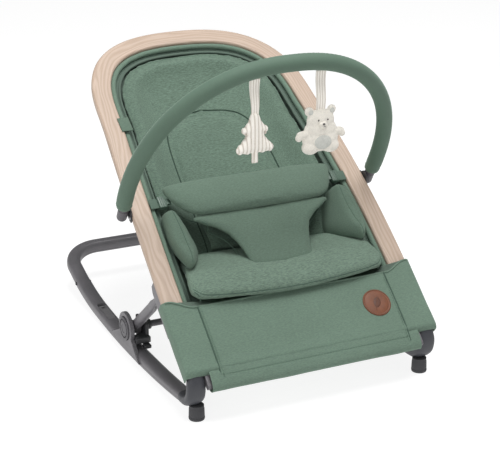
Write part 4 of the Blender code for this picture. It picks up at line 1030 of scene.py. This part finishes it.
def wood_rim():
    line = rim_line(0.050, WOOD_WIDTH / 2, 260)
    section = soft_box(WOOD_WIDTH, WOOD_THICKNESS, 0.0042, 7, 8)
    piece = make("oak_rim", skin(seat_rings(line, 0, section)), OAK, "seat", "wood_rim", 70)
    along = np.repeat(travelled(line), len(section))[:, None]
    add_attribute(piece, "grain", 'FLOAT_VECTOR', "vector",
                  np.concatenate([along, np.tile(section, (len(line), 1))], axis=1))


CLAMP_SCREW_PROFILE = ((0.0003, 0.0002), (0.0012, 0.0002), (0.0015, -0.0004), (0.0030, -0.0002),
                       (0.0033, 0.0008))


def under_frame():
    """The tube under the rim, with its clamps and their screws."""
    line = rim_line(0.0592, TUBE_INSET, 220)
    line[:, 0] -= np.sign(line[:, 0]) * 0.014 * smooth_step((0.135 - line[:, 1]) / 0.07)
    rings = seat_rings(line, -TUBE_DEPTH, circle(0.0084, 32))
    make("seat_frame_tube", skin(rings), GREY, "seat", "seat_tube")
    clamps = []
    screws = []
    for _, side in SIDES:
        for s in CLAMP_STATIONS:
            x = side * (float(rim_half_width(s)) - TUBE_INSET)
            place = seat_matrix(s, -TUBE_DEPTH) @ Matrix.Translation((x, 0, 0))
            clamps.append(block((-0.0125, -0.010, -0.0098), (0.0125, 0.010, 0.0030), 0.002, 3, place))
            head = seat_point(x, s, -TUBE_DEPTH - 0.0104)
            screws.append(turned(CLAMP_SCREW_PROFILE, head, seat_normal(s), 24))
    make("tube_clamps", joined(clamps), CHARCOAL)
    make("clamp_screws", joined(screws), STEEL)


def arch_clip(side, name):
    """Clip on the rim's outer edge, with its pin and screw."""
    edge = float(rim_half_width(0.326))
    s = np.linspace(CLIP_START, CLIP_START + CLIP_LENGTH, 40)
    bow = np.sin(np.clip((s - CLIP_START) / CLIP_LENGTH, 0, 1) * math.pi)
    high = 0.0010 + 0.0125 * smooth_step(bow * 1.25 - 0.25)
    low = -0.0060 - 0.0020 * smooth_step(bow * 2)
    outline = np.concatenate([s, s[::-1]]), np.concatenate([high, low[::-1]])
    rings = [seat_points(side * (edge + offset), *outline) for offset in (0.0010, 0.0036)]
    plate = make(f"arch_clip_plate_{name}", skin(rings), CHARCOAL, "seat", f"arch_clip_{name}")
    edge_round(plate, 0.0009, 3, 40)
    outward = (side, 0, 0)
    make(f"arch_clip_pin_{name}", turned(pin(0.0026, ARCH_HALF - 0.0012 - edge - 0.0020),
                                         (side * (edge + 0.0020), ARCH_FOOT.y, ARCH_FOOT.z), outward, 32),
         CHARCOAL)
    screw = turned([(0.0003, 0.0001), (0.0011, 0.0001), (0.0013, 0.0005), (0.0026, 0.0004), (0.0030, 0.0)],
                   seat_point(side * (edge + 0.0036), 0.3135, -0.0020), outward, 24)
    make(f"arch_clip_screw_{name}", screw, STEEL)


# ---------------------------------------------------------------- toy arch
def arch_points(angle):
    height = ARCH_HEIGHT * np.abs(np.sin(angle)) ** (2 / ARCH_POWER)
    share = height / ARCH_HEIGHT
    x = ARCH_HALF * signed_power(np.cos(angle), 2 / ARCH_POWER) * (1 + 4 * ARCH_BULGE * share * (1 - share))
    y = ARCH_FOOT.y + height * math.cos(ARCH_LEAN)
    z = ARCH_FOOT.z + height * math.sin(ARCH_LEAN)
    return np.stack([x, y, z], axis=-1)


def toy_arch():
    """Padded sleeve with soft folds on its inner side, its seam, and the end caps."""
    hint = (0, -math.sin(ARCH_LEAN), math.cos(ARCH_LEAN))
    dense = arch_points(math.pi * (1 - np.linspace(0, 1, 1201)))
    line = resample(dense[(dense[:, 2] - ARCH_FOOT.z) / math.sin(ARCH_LEAN) > 0.0130], 270)
    share = np.linspace(0, 1, len(line))
    length = travelled(line)[-1]
    from_end = np.minimum(share, 1 - share) * length
    ring = circle(1.0, 40)
    angle = 2 * math.pi * (np.arange(40) + 0.5) / 40
    radius = SLEEVE_RADIUS * (0.985 - 0.10 * np.exp(-(from_end / 0.004) ** 2)
                              - 0.05 * np.exp(-((from_end - 0.011) / 0.0022) ** 2))
    curl = np.linalg.norm(np.gradient(np.gradient(line, axis=0), axis=0), axis=1)
    waves = np.sin(share[:, None] * length / 0.0085 * 2 * math.pi + 1.3 * np.sin(angle)[None])
    folds = 0.00035 * (curl / curl.max())[:, None] * waves * np.clip(-np.sin(angle), 0, 1)[None]
    gather = 0.0003 * np.exp(-(from_end / 0.010) ** 2)[:, None] * np.sin(angle * 13)[None]
    reach = radius[:, None] + folds + gather
    outer = sweep(line, ring[None] * reach[:, :, None], hint)
    inner = sweep(line, circle(0.0088, 40), hint)
    wall = skin(np.concatenate([outer, inner[::-1]]), closed=True)
    sleeve = make("padded_sleeve", wall, SLEEVE, "toy_arch", "arch_sleeve", 70)
    # The seam under the sleeve is a near-black cord: painted shade along the seam.
    seam = line[6:-6] - frames_along(line, hint)[1][6:-6] * SLEEVE_RADIUS * 0.985
    tube("sleeve_seam", seam, 0.0006, SEAM, 8, hint, "toy_arch")
    dome_end = [(max(CAP_RADIUS * math.sin(t), 0.0003), -0.0220 + 0.0080 * (1 - math.cos(t)))
                for t in np.linspace(0, math.pi / 2, 10)]
    profile = dome_end + [(CAP_RADIUS, 0.0040), (0.0086, 0.0044), (0.0086, 0.0056), (CAP_RADIUS, 0.0060),
                          (CAP_RADIUS, 0.0142), (0.0080, 0.0155)]
    for name, side in SIDES:
        cap = turned(profile, (side * ARCH_HALF, ARCH_FOOT.y, ARCH_FOOT.z),
                     (0, math.cos(ARCH_LEAN), math.sin(ARCH_LEAN)), 56)
        make(f"arch_end_cap_{name}", cap, CAP_GREY, "toy_arch", f"arch_cap_{name}", 50)


def ribbed(name, solid, body, node, wavelength, depth, centre_x):
    """A corduroy piece: upright ribs raised along the normals, with the rib attribute."""
    piece = make(name, solid, CORD, body, node, 180)
    across = vectors(piece.data)[:, 0] - centre_x
    rib = (0.5 + 0.5 * np.cos(2 * math.pi * across / wavelength)) ** 0.6
    move_out(piece, (rib - 0.6) * depth)
    add_attribute(piece, "rib", 'FLOAT', "value", rib)
    return piece


def ribbon(body, angle, end, widths):
    """A flat cord-cloth strap from the underside of the arch down to the toy."""
    top = arch_points(np.array(math.radians(angle))) - (0, 0, SLEEVE_RADIUS * 0.97)
    share = np.linspace(0, 1, 40)
    across = np.linspace(-1, 1, 17)
    rings = []
    for t in share:
        middle = top + (np.array(end) - top) * t + (0, 0.0018 * math.sin(t * math.pi * 2), 0)
        half = (widths[0] + (widths[1] - widths[0]) * t) / 2
        rings.append([middle + (u * half, -0.0009 - 0.0002 * math.cos(u * math.pi), 0) for u in across]
                     + [middle + (u * half, 0.0009, 0) for u in across[::-1]])
    ribbed(f"{body}_strap", skin(rings), body, f"{body}_ribbon", 0.0046, 0.0004, top[0])


def pillow(outline, centre, middle, thickness, edge, rings=26):
    """A stuffed flat shape from a closed (x, z) outline, round at its edges."""
    shares = ((np.linspace(0, 1, rings) ** 1.5) * 0.98)[:, None, None]
    flat = outline[None] * (1 - shares) + np.array(middle)[None, None] * shares
    border = resample(np.vstack([outline, outline[:1]]), 700)
    gap = distance_to_line(flat.reshape(-1, 2), border).reshape(flat.shape[:2])
    rise = thickness / 2 * dome(gap / edge) + 0.0002
    back, front = (np.stack([centre[0] + flat[..., 0], centre[1] + sign * rise, centre[2] + flat[..., 1]],
                            axis=-1) for sign in (1, -1))
    return skin(np.concatenate([back[::-1], front], axis=0))


TREE_SHRINK = 0.89
TREE_HALF = ((0.000, 0.001), (0.0055, 0.0), (0.0085, -0.006), (0.0125, -0.0155), (0.0185, -0.0235),
             (0.0245, -0.0275), (0.0262, -0.0325), (0.0225, -0.0365), (0.0175, -0.0360), (0.0185, -0.0430),
             (0.0255, -0.0530), (0.0330, -0.0605), (0.0368, -0.0650), (0.0362, -0.0715), (0.0310, -0.0752),
             (0.0240, -0.0740), (0.0160, -0.0762), (0.0075, -0.0745), (0.0058, -0.0765), (0.0058, -0.0930),
             (0.0045, -0.0945), (0.0, -0.0945))


def toy_top(node):
    low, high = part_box(node)
    return (low.x + high.x) / 2, (low.y + high.y) / 2, high.z


def tree_toy():
    top = toy_top("tree_toy")
    ribbon("tree", 102.5, (top[0], top[1], top[2] - 0.004), (0.0190, 0.0130))
    outline = mirrored([(x * TREE_SHRINK, z * TREE_SHRINK + 0.002) for x, z in TREE_HALF], 90)
    piece = ribbed("stuffed_tree", pillow(outline, top, (0, -0.050), 0.017, 0.011), "tree", "tree_toy",
                   0.0068, 0.0012, top[0])
    edge = np.array(top) + np.insert(outline, 1, 0, axis=1)
    tube("tree_edge_seam", edge, 0.0007, CORD, 8, FORE, "tree", closed=True)


BEAR_BODY = (((0, 0, -0.0210), (0.0255, 0.0110, 0.0190)), ((0, 0, -0.0380), (0.0300, 0.0115, 0.0210)),
             ((0, 0, -0.0540), (0.0335, 0.0120, 0.0220)))
BEAR_LIMBS = (((0.0210, 0.001, -0.0050), (0.0083, 0.0052, 0.0078)),
              ((0.0330, -0.001, -0.0430), (0.0115, 0.0068, 0.0062)),
              ((0.0405, -0.001, -0.0485), (0.0062, 0.0060, 0.0062)),
              ((0.0185, -0.001, -0.0670), (0.0160, 0.0105, 0.0125)))
BELLY_Z = -0.057


def bear_toy():
    """Plush bear with a stitched animal face and a belly patch."""
    top = Vector(toy_top("bear_toy"))
    ribbon("bear", 79.3, (top.x, top.y, top.z - 0.004), (0.0185, 0.0165))
    blobs = list(BEAR_BODY)
    for _, side in SIDES:
        blobs += [((side * x, y, z), radii) for (x, y, z), radii in BEAR_LIMBS]
    body = make("stuffed_bear", joined([ellipsoid(top + Vector(c), r) for c, r in blobs]), PLUSH, "bear",
                "bear_toy", 180)
    modify(body, 'REMESH', mode='VOXEL', voxel_size=0.0014)
    modify(body, 'SMOOTH', iterations=6)
    baked(body)
    body.data.shade_smooth()
    tree = surface_of(body)

    def on_bear(x, z):
        return tree.ray_cast(top + Vector((x, -0.05, z)), Vector(FORE), 0.1)[0]

    def blob(name, x, z, radii, finish, lift):
        make(name, ellipsoid(on_bear(x, z) - Vector((0, lift, 0)), radii, 14), finish, "bear", smooth=180)

    blob("bear_muzzle", 0, -0.0275, (0.0082, 0.0030, 0.0062), PLUSH, 0.0006)
    blob("bear_nose", 0, -0.0255, (0.0026, 0.0016, 0.0018), FACE_THREAD, 0.0028)
    for name, side in SIDES:
        blob(f"bear_eye_{name}", side * 0.0085, -0.0190, (0.0014, 0.0010, 0.0016), FACE_THREAD, 0.0004)
        blob(f"bear_ear_{name}", side * 0.0200, -0.0060, (0.0046, 0.0014, 0.0044), BELLY, 0.0)
        mouth = [top + Vector((side * 0.0022 * t, -0.0160, -0.0282 - 0.0016 * math.sin(t * 2.4)))
                 for t in np.linspace(0.02, 1, 8)]
        tube(f"bear_mouth_{name}", mouth, 0.0004, FACE_THREAD, 6, FORE, "bear")
    angle = np.linspace(0, 2 * math.pi, 72, endpoint=False)
    outline = np.stack([0.0160 * np.cos(angle), BELLY_Z + 0.0125 * np.sin(angle)], axis=1)
    patch = pillow(outline, (top.x, on_bear(0, BELLY_Z).y + 0.0016, top.z), (0, BELLY_Z), 0.0060, 0.012, 16)
    make("bear_belly_patch", patch, BELLY, "bear", smooth=180)
    tube("bear_belly_seam", [tuple(on_bear(x, z)) for x, z in outline], 0.0006, PLUSH, 8, FORE, "bear",
         closed=True)


# ---------------------------------------------------------------- seat cloth
def hammock():
    """The cloth hung in the rim, with the roll, band and piping at its edge."""
    outline = closed_below(rim_line(0.106, WOOD_WIDTH + 0.0005, 260), 40)
    pad = ringed_pad(outline, (0.19, 0.62), 0.0022, lambda x, s: -0.0065 - bowl(x, s), 0.0015, 46)
    # The cloth is in the darker underside weave: painted shade, as it shows only in the gaps under and between
    # the pads.
    cloth = make("hammock_cloth", pad, UNDER_CLOTH_SHADE, "seat", "hammock", 180)
    x, s = outline.T
    # The piping is in that darker weave too: painted shade in the recess between the roll and the pads.
    for name, inset, n, radius, finish in (("edge_roll", 0.0408, -0.0026, 0.0048, FABRIC),
                                           ("edge_piping", 0.0530, -0.0078, 0.0024, UNDER_CLOTH_SHADE)):
        line = on_face(rim_line(0.118, inset, 300), n)[0]
        rumple(tube(name, line, radius, finish, 14), 0.0004, 90)
    inner, outer = (rim_line(0.118, inset, 300) for inset in (0.0525, 0.0425))
    share = np.linspace(0, 1, 6)
    rings = []
    for a, b in zip(outer, inner):
        x, s = (a + (b - a) * share[:, None]).T
        rings.append(np.vstack([seat_points(x, s, -0.0072 - 0.0008 * np.sin(share * math.pi)),
                                seat_points(x[::-1], s[::-1], -0.0100)]))
    # The band is in that darker weave: painted shade in its recess.
    make("edge_band", skin(rings), UNDER_CLOTH_SHADE)
    line = on_face(rim_line(0.122, 0.0468, 420), -0.0066)[0]
    stitches("edge_band_stitches", line, SEAT_UP, THREAD, 0.0030, 0.0016, 0.0004)


def back_height(x, s):
    """Top of the back cushion: a puffy border, then the bowl."""
    puff = 0.0065 * np.exp(-((rim_gap(x, s) - 0.045) / 0.016) ** 2) * smooth_step((s - 0.30) / 0.12)
    return 0.0115 + puff - bowl(x, s)


def torso_height(x, s):
    return 0.0125 - bowl(x, s) + 0.0045 + 0.0160 * (1 - smooth_step((s - 0.25) / 0.09))


TORSO_HALF = ((0.098, 0.240), (0.0975, 0.330), (0.0965, 0.400), (0.0940, 0.455), (0.0875, 0.500),
              (0.0720, 0.535), (0.0450, 0.5535), (0, 0.5600))


def torso_outline(widen=0.0):
    right = smooth_curve(TORSO_HALF, 90)
    right[:, 0] += widen * (right[:, 0] > 0.01)
    return np.vstack([right, (right * (-1, 1))[::-1][1:]])


def back_pads():
    outline = closed_below(rim_line(0.232, PAD_INSET, 260), 40)
    back = cushion("back_cushion", "back_pad", HEATHER, 0.6,
                   ringed_pad(outline, (0.29, 0.60), 0.015, back_height, 0.016), 0.0030, 0.0050, (0.0011, 17),
                   (0.0004, 60))
    edge = rim_line(0.262, PAD_INSET + 0.0085, 260)
    sew(back, edge, 0.0009, 0.0016)
    thread_row("back_cushion_stitches", back, edge)
    cushion("torso_cushion", "inlay_pad", HEATHER, 0.5,
            ringed_pad(closed_below(torso_outline(), 30), (0.33, 0.46), 0.0125, torso_height, 0.016),
            0.0034, 0.0042, (0.0009, 22))
    # The torso seam is a near-black cord: painted shade in the groove round the inlay.
    piping("torso_seam", back, torso_outline(0.0016), 0.0013, 0.0, SEAM)


SEAT_HALF = ((0.0, 0.1050), (0.060, 0.1070), (0.115, 0.1120), (0.150, 0.1165), (0.1745, 0.1225),
             (0.1840, 0.1340), (0.1850, 0.1500), (0.180, 0.175), (0.172, 0.205), (0.162, 0.232),
             (0.148, 0.2400), (0.0, 0.2430))
SEAT_SEAM = ((0, 0.1128), (0.060, 0.1145), (0.115, 0.1190), (0.150, 0.1240), (0.1690, 0.1300),
             (0.1780, 0.1420))


def seat_height(x, s):
    face = np.interp(s, (0.090, 0.105, 0.125, 0.150, 0.175, 0.200, 0.240),
                     (0.0275, 0.0310, 0.0325, 0.0285, 0.0185, 0.0000, -0.0360))
    return face - 0.006 * (np.abs(x) / 0.17) ** 4


def seat_cushion():
    pad = cushion("seat_cushion", "seat_pad", MELANGE, 0.7,
                  ringed_pad(mirrored(SEAT_HALF, 120), (0.15, 0.19), 0.0175, seat_height, 0.012),
                  0.0040, 0.0048, (0.0010, 20), (0.0004, 70))
    front = smooth_curve(both_ways(SEAT_SEAM), 160)
    sew(pad, front, 0.0011, 0.0017)
    # Both seam cords are in the dark default cloth: painted shade along the front seam and under the pad's
    # edge.
    piping("seat_front_seam", pad, front, 0.0009, -0.0003)
    piping("seat_edge_seam", pad, front - (0, 0.0058), 0.0011, 0.0)


BELT_HALF = ((0.0, 0.3560), (0.060, 0.3562), (0.110, 0.3572), (0.148, 0.3570), (0.1620, 0.3540),
             (0.1630, 0.3440), (0.156, 0.3240), (0.145, 0.3030), (0.132, 0.2880), (0.110, 0.2780),
             (0.060, 0.2720), (0.0, 0.2700))
BELT_SEAM = ((0, 0.2720), (0.060, 0.2740), (0.108, 0.2800), (0.130, 0.2885), (0.1430, 0.3020))
CROTCH_HALF = ((0.0, 0.2860), (0.124, 0.2860), (0.1200, 0.2700), (0.0980, 0.2530), (0.080, 0.2340),
               (0.0680, 0.2050), (0.0610, 0.1760), (0.0530, 0.1640), (0.0, 0.1585))
CROTCH_SEAM = ((0.1170, 0.2702), (0.0965, 0.2530), (0.0782, 0.2340), (0.0662, 0.2050), (0.0592, 0.1770),
               (0.0510, 0.1656))


def belt_height(x, s):
    return 0.0400 - 0.018 * (np.abs(x) / 0.166) ** 2.2 - 0.06 * (s - 0.318)


def crotch_height(x, s):
    lift = np.interp(s, (0.158, 0.19, 0.22, 0.286), (0.0250, 0.0255, 0.0260, 0.0270))
    return lift - 0.003 * (np.abs(x) / 0.08) ** 2


def waist_belt():
    belt = cushion("belt_cushion", "waist_belt", BELT_FABRIC, 0.7,
                   ringed_pad(mirrored(BELT_HALF, 130), (0.300, 0.330), 0.024, belt_height, 0.032),
                   0.0040, 0.0042, (0.0009, 24), (0.0003, 75))
    low = smooth_curve(both_ways(BELT_SEAM), 140)
    sew(belt, low, 0.0008, 0.0014)
    # The dark cord along the lower seam is painted shade in the seam.
    piping("belt_lower_seam", belt, low, 0.0010, -0.0002)
    crotch = cushion("crotch_cushion", "crotch_pad", BELT_FABRIC, 0.5,
                     ringed_pad(mirrored(CROTCH_HALF, 110), (0.19, 0.26), 0.0095, crotch_height, 0.009),
                     0.0022, 0.0040, (0.0007, 26))
    for name, side in SIDES:
        line = smooth_curve([(side * x, s) for x, s in CROTCH_SEAM], 80)
        sew(crotch, line, 0.0006, 0.0012)
        # The dark cord is painted shade along each side seam.
        piping(f"crotch_seam_{name}", crotch, line, 0.0010, -0.0001)


WING_OUTLINE = ((0.1790, 0.3020), (0.1620, 0.3090), (0.1420, 0.3010), (0.1300, 0.2650), (0.1270, 0.2380),
                (0.1370, 0.2170), (0.1590, 0.1890), (0.1645, 0.1850), (0.1700, 0.1910), (0.1780, 0.2200),
                (0.1810, 0.2550), (0.1790, 0.3020))
WING_SEAM = ((0.1620, 0.3010), (0.1600, 0.2600), (0.1610, 0.2250), (0.1640, 0.1910))


def wing_height(x, s):
    along = np.interp(s, (0.175, 0.200, 0.225, 0.250, 0.310), (0.0400, 0.0350, 0.0300, 0.0270, 0.0220))
    return along - 1.25 * np.maximum(0.160 - np.abs(x), 0)


def side_wing(side, name):
    outline = smooth_curve(WING_OUTLINE, 120)[:-1] * (side, 1)
    pad = cushion(f"wing_cushion_{name}", f"side_wing_{name}", BELT_FABRIC, 0.6,
                  ringed_pad(outline, (0.220, 0.28), 0.040, wing_height, 0.014, 26, side * 0.158),
                  0.0030, 0.0040, (0.0008, 30))
    crease = smooth_curve([(side * x, s) for x, s in WING_SEAM], 70)
    sew(pad, crease, 0.0010, 0.0018)
    # The dark cord along the crease is painted shade in it.
    piping(f"wing_seam_{name}", pad, crease, 0.0008, -0.0002)


def buckle(side, name):
    """Ladder buckle: the frame stays on the side strap and the tongue on the belt."""
    place = seat_matrix(0.3170, 0.0030)
    shell = side_block(side, (0.1615, 0.1760), (0, 0.024), (0, 0.008), 0.0018, 4, place)
    case = make(f"buckle_frame_{name}", shell, GREEN_PLASTIC, "seat", f"buckle_socket_{name}")
    cut(case, side_block(side, (0.1515, 0.1725), (0.0052, 0.0188), (0.0020, 0.0060), 0.0006, 2, place))
    edge_round(case, 0.0004)
    bars = [side_block(side, (x, x + 0.0014), (0.002, 0.022), (0.0074, 0.0089), 0.0005, 2, place)
            for x in (0.1637, 0.1673, 0.1709)]
    make(f"buckle_ribs_{name}", joined(bars), GREEN_PLASTIC)
    tongue = f"buckle_tongue_{name}"
    tab = side_block(side, (0.1525, 0.1710), (0.0062, 0.0178), (0.0027, 0.0053), 0.0009, 3, place)
    make(f"buckle_tab_{name}", tab, GREEN_PLASTIC, tongue, tongue)
    strap = side_block(side, (0.1757, 0.1912), (0.002, 0.022), (0.0028, 0.0046), 0.0006, 2, place)
    make(f"buckle_webbing_{name}", strap, WEBBING, "seat", f"side_strap_{name}")


COVER_HALF = RIM_FRONT_HALF + 0.0058
COVER_WALL = 0.0026
COVER_LOW = -0.0128
PANEL_HALF = 0.1965
PANEL_PATH = ((0.1140, 0.0118), (0.090, 0.0124), (0.045, 0.0124), (0.012, 0.0108), (-0.008, 0.0082),
              (-0.0205, 0.0056), (-0.0285, 0.0022), (-0.0325, -0.0032), (-0.0315, -0.0095),
              (-0.0262, -0.0146), (-0.0180, -0.0158))


def pocket_dip(x):
    """Share by which the pocket's rows dip between the rails."""
    return 1 - POCKET_DIP * smooth_step((0.226 - np.abs(x)) / 0.045)


def pocket_ring(s):
    """Outer and inner line of the pocket's wall across the seat, rounded over at the foot end."""
    front = dome((s + 0.0046) / 0.010)
    high = -0.0010 + 0.0118 * front
    corner = 0.0062 * front + 0.0008
    inner_corner = max(corner - COVER_WALL * 0.5, 0.0008)
    turn = np.linspace(0, math.pi / 2, 9)
    walls = ((COVER_HALF, high, corner, 0.0012),
             (COVER_HALF - COVER_WALL, high - COVER_WALL, inner_corner, 0.0008))
    right, right_in = ([(half - r + r * math.sin(t), top - r + r * math.cos(t)) for t in turn]
                       + [(half, COVER_LOW + 0.006), (half - foot, COVER_LOW)] for half, top, r, foot in walls)
    top = [(x, high + 0.0005 * math.cos(x * 9))
           for x in np.linspace(corner - COVER_HALF, COVER_HALF - corner, 60)[1:-1]]
    outer = [(-x, n) for x, n in right[::-1]] + top + right
    inner = right_in[::-1] + [(x, high - COVER_WALL) for x, _ in top[::-1]] + [(-x, n) for x, n in right_in]
    x, n = np.array(outer + inner).T
    return seat_points(x, s * pocket_dip(x) if s > 0 else s, n)


def foot_cover():
    """Cloth pocket over the front frame: a lid with side pockets, and a panel rolled round the front tube."""
    rings = [pocket_ring(s)
             for s in np.concatenate([np.linspace(-0.0042, 0.008, 12), np.linspace(0.012, POCKET_TOP_S, 42)])]
    lid = make("cover_pocket", skin(rings), FABRIC, "seat", "foot_cover", 70)
    rumple(lid, 0.0007, 26)

    path = smooth_curve(PANEL_PATH, 110)
    along = unit(np.gradient(path, axis=0))
    offset = np.stack([-along[:, 1], along[:, 0]], axis=1) * 0.0014
    middle = (0.0, -0.004)
    nearer = np.linalg.norm(path + offset - middle, axis=1) < np.linalg.norm(path - middle, axis=1)
    section = np.vstack([path, (path + np.where(nearer[:, None], offset, -offset))[::-1]])
    rings = []
    for x in np.linspace(-PANEL_HALF, PANEL_HALF, 110):
        end = np.clip((0.1970 - abs(x)) / 0.0030, 0.15, 1)
        s, n = section.T
        n = n - 0.0034 * smooth_step((abs(x) - 0.1755) / 0.003) * smooth_step((s + 0.008) / 0.012)
        n = n + 0.0006 * math.sin(x * 31) * smooth_step((0.02 - s) / 0.05) - 0.0008 * (1 - end)
        rings.append(seat_points(x, s, n))
    panel = make("cover_panel", skin(rings), FABRIC, "seat", smooth=70)
    rumple(panel, 0.0006, 24, (1, 0.6, 0.6))
    for name, side in SIDES:
        line = np.stack([np.full(60, side * 0.1772), np.linspace(0.1155, -0.018, 60)], axis=1)
        n = np.interp(line[:, 1], (-0.02, 0.0, 0.02, 0.13), (0.0045, 0.0090, 0.0113, 0.0117))
        # A dark cord on each side seam: painted shade in the seam.
        tube(f"cover_side_seam_{name}", smoothed(on_face(line, n)[0]), 0.0014, SHADOW_CLOTH, 10)
        thread_row(f"cover_side_stitches_{name}", panel, line - (side * 0.0042, 0))
    hem = np.stack([np.linspace(-0.1745, 0.1745, 120), np.full(120, -0.0115)], axis=1)
    sew(panel, hem, 0.0007, 0.0014)
    points, up = on_face(hem, 0.0)
    stitches("cover_hem_stitches", smoothed(lay_on(panel, points, up, 0.0001)), up[0], THREAD, 0.0036, 0.0018,
             0.00045)
    x = np.linspace(-0.230, 0.230, 160)
    line = seat_points(x, (POCKET_TOP_S - 0.001) * pocket_dip(x), 0.0112)
    tube("cover_top_binding", line, 0.0017, FABRIC, 12)


BADGE_PROFILE = ((0.0003, -0.0012), (0.0250, -0.0012), (0.0257, -0.0002), (0.0254, 0.0011), (0.0244, 0.0016),
                 (0.0230, 0.0014), (0.0222, 0.0009), (0.0214, 0.0013), (0.0120, 0.0015), (0.0003, 0.0015))
LEAF_HALF = ((0, -0.0115), (0.0044, -0.0070), (0.0066, -0.0005), (0.0054, 0.0058), (0.0, 0.0120))


def badge():
    """Leather patch with a stitched edge and a plain pressed leaf."""
    up = seat_normal(0.0600)
    place = seat_matrix(0.0600, 0.0128) @ Matrix.Translation((0.1400, 0, 0))
    make("leather_patch", turned(BADGE_PROFILE, place.translation, up, 96), LEATHER, "seat", "leather_badge")
    ring = [tuple(place @ Vector((0.0237 * math.cos(a), 0.0237 * math.sin(a), 0.0016)))
            for a in np.linspace(0, 2 * math.pi, 160)]
    stitches("patch_stitches", np.array(ring), tuple(up), LEATHER_DEEP, 0.0020, 0.0014, 0.00032)
    place = place @ Matrix.Rotation(math.radians(-24), 4, 'Z')
    leaf = mirrored(LEAF_HALF, 40)
    rings = [[tuple(place @ Vector((x * share, y * share, 0.0017 + lift))) for x, y in leaf]
             for share, lift in ((1.0, -0.0004), (0.97, 0.0001), (0.80, 0.0003), (0.3, 0.0004))]
    make("patch_leaf", skin(rings), LEATHER_DEEP)
    spine = [tuple(place @ Vector((0, y, 0.0022))) for y in np.linspace(-0.0165, 0.0095, 24)]
    tube("patch_leaf_rib", spine, 0.00045, LEATHER, 8, tuple(up))


def side_tag():
    label = block((-0.1860, -0.001, 0.0125), (-0.1650, 0.031, 0.0139), 0.0005, 2,
                  seat_matrix(0.4960, -0.0055))
    make("side_label", label, BELT_FABRIC, "seat", "side_tag")


# ---------------------------------------------------------------- hidden hard parts kept from the frame
def keep(node, finish, bevel=0.0006):
    """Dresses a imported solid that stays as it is."""
    solid = frame["nodes"][node]
    solid.data.materials.clear()
    solid.data.materials.append(finish[0])
    edge_round(solid, bevel, 2, 30)


# ---------------------------------------------------------------- assembly
for side_name, side_sign in SIDES:
    for build in (rail, cheek, hub, front_leg, parking_foot, arch_clip, side_wing, buckle):
        build(side_sign, side_name)
    keep(f"frame_joint_{side_name}", GREY)
    keep(f"strut_track_{side_name}", GREY)
    keep(f"hub_pin_{side_name}", STEEL, 0.0003)
    keep(f"parking_pin_{side_name}", STEEL, 0.0003)
keep("front_tube", GREY)
keep("arch_core", GREY)
for build in (rear_bow, struts, wood_rim, under_frame, toy_arch, tree_toy, bear_toy, hammock, back_pads,
              seat_cushion, waist_belt, foot_cover, badge, side_tag):
    build()


# ---------------------------------------------------------------- stage, camera and light
FLOOR_HALF = 14.0
WORLD_STRENGTH = 0.22
LAMPS = (("key", (0.25, -0.4, 2.9), (0, 0, 0.2), 2.0, 86), ("fill", (-1.8, -2.2, 1.6), (0, 0, 0.25), 2.0, 18),
         ("side", (-2.4, 0.4, 1.0), (0, 0, 0.2), 1.4, 13))
CAMERA_LENS = 108.01
CAMERA_AZIMUTH, CAMERA_ELEVATION = math.radians(-25.08), math.radians(20.50)
CAMERA_TARGET, CAMERA_DISTANCE = Vector((0.0014, -0.06945, 0.2225)), 2.6926


def stand(name, data, location=(0, 0, 0), direction=None):
    """Puts a lamp, camera or floor in the scene, looking along a direction if one is given."""
    thing = bpy.data.objects.new(name, data)
    bpy.context.scene.collection.objects.link(thing)
    thing.location = location
    if direction:
        thing.rotation_euler = direction.to_track_quat('-Z', 'Y').to_euler()
    return thing


def stage():
    finish = Finish("pale_floor", (0.25, 0.25, 0.25), 0.75)
    finish.feed("Base Color", finish.shades(finish.noise(3, 2.0), 0.995, 1.005))
    finish.set("Emission Color", (1.0, 1.0, 1.0, 1.0))
    finish.set("Emission Strength", 0.85)
    mesh = bpy.data.meshes.new("floor")
    corners = [(x * FLOOR_HALF, y * FLOOR_HALF, 0) for x, y in ((-1, -1), (1, -1), (1, 1), (-1, 1))]
    mesh.from_pydata(corners, [], [(0, 1, 2, 3)])
    mesh.materials.append(finish.material)
    floor = stand("floor", mesh)

    world = bpy.data.worlds.new("studio")
    world.use_nodes = True
    background = world.node_tree.nodes["Background"].inputs
    background["Color"].default_value = (1.0, 1.0, 1.0, 1.0)
    background["Strength"].default_value = WORLD_STRENGTH
    bpy.context.scene.world = world
    for name, place, target, size, watts in LAMPS:
        light = bpy.data.lights.new(name, 'AREA')
        light.shape = 'DISK'
        light.size = size
        light.energy = watts
        stand(name, light, place, Vector(target) - Vector(place))

    flat = math.cos(CAMERA_ELEVATION)
    back = Vector((math.sin(CAMERA_AZIMUTH) * flat, -math.cos(CAMERA_AZIMUTH) * flat,
                   math.sin(CAMERA_ELEVATION)))
    lens = bpy.data.cameras.new("camera")
    lens.lens = CAMERA_LENS
    bpy.context.scene.camera = stand("camera", lens, CAMERA_TARGET + back * CAMERA_DISTANCE, -back)
    bpy.context.scene.view_settings.view_transform = 'Standard'


stage()
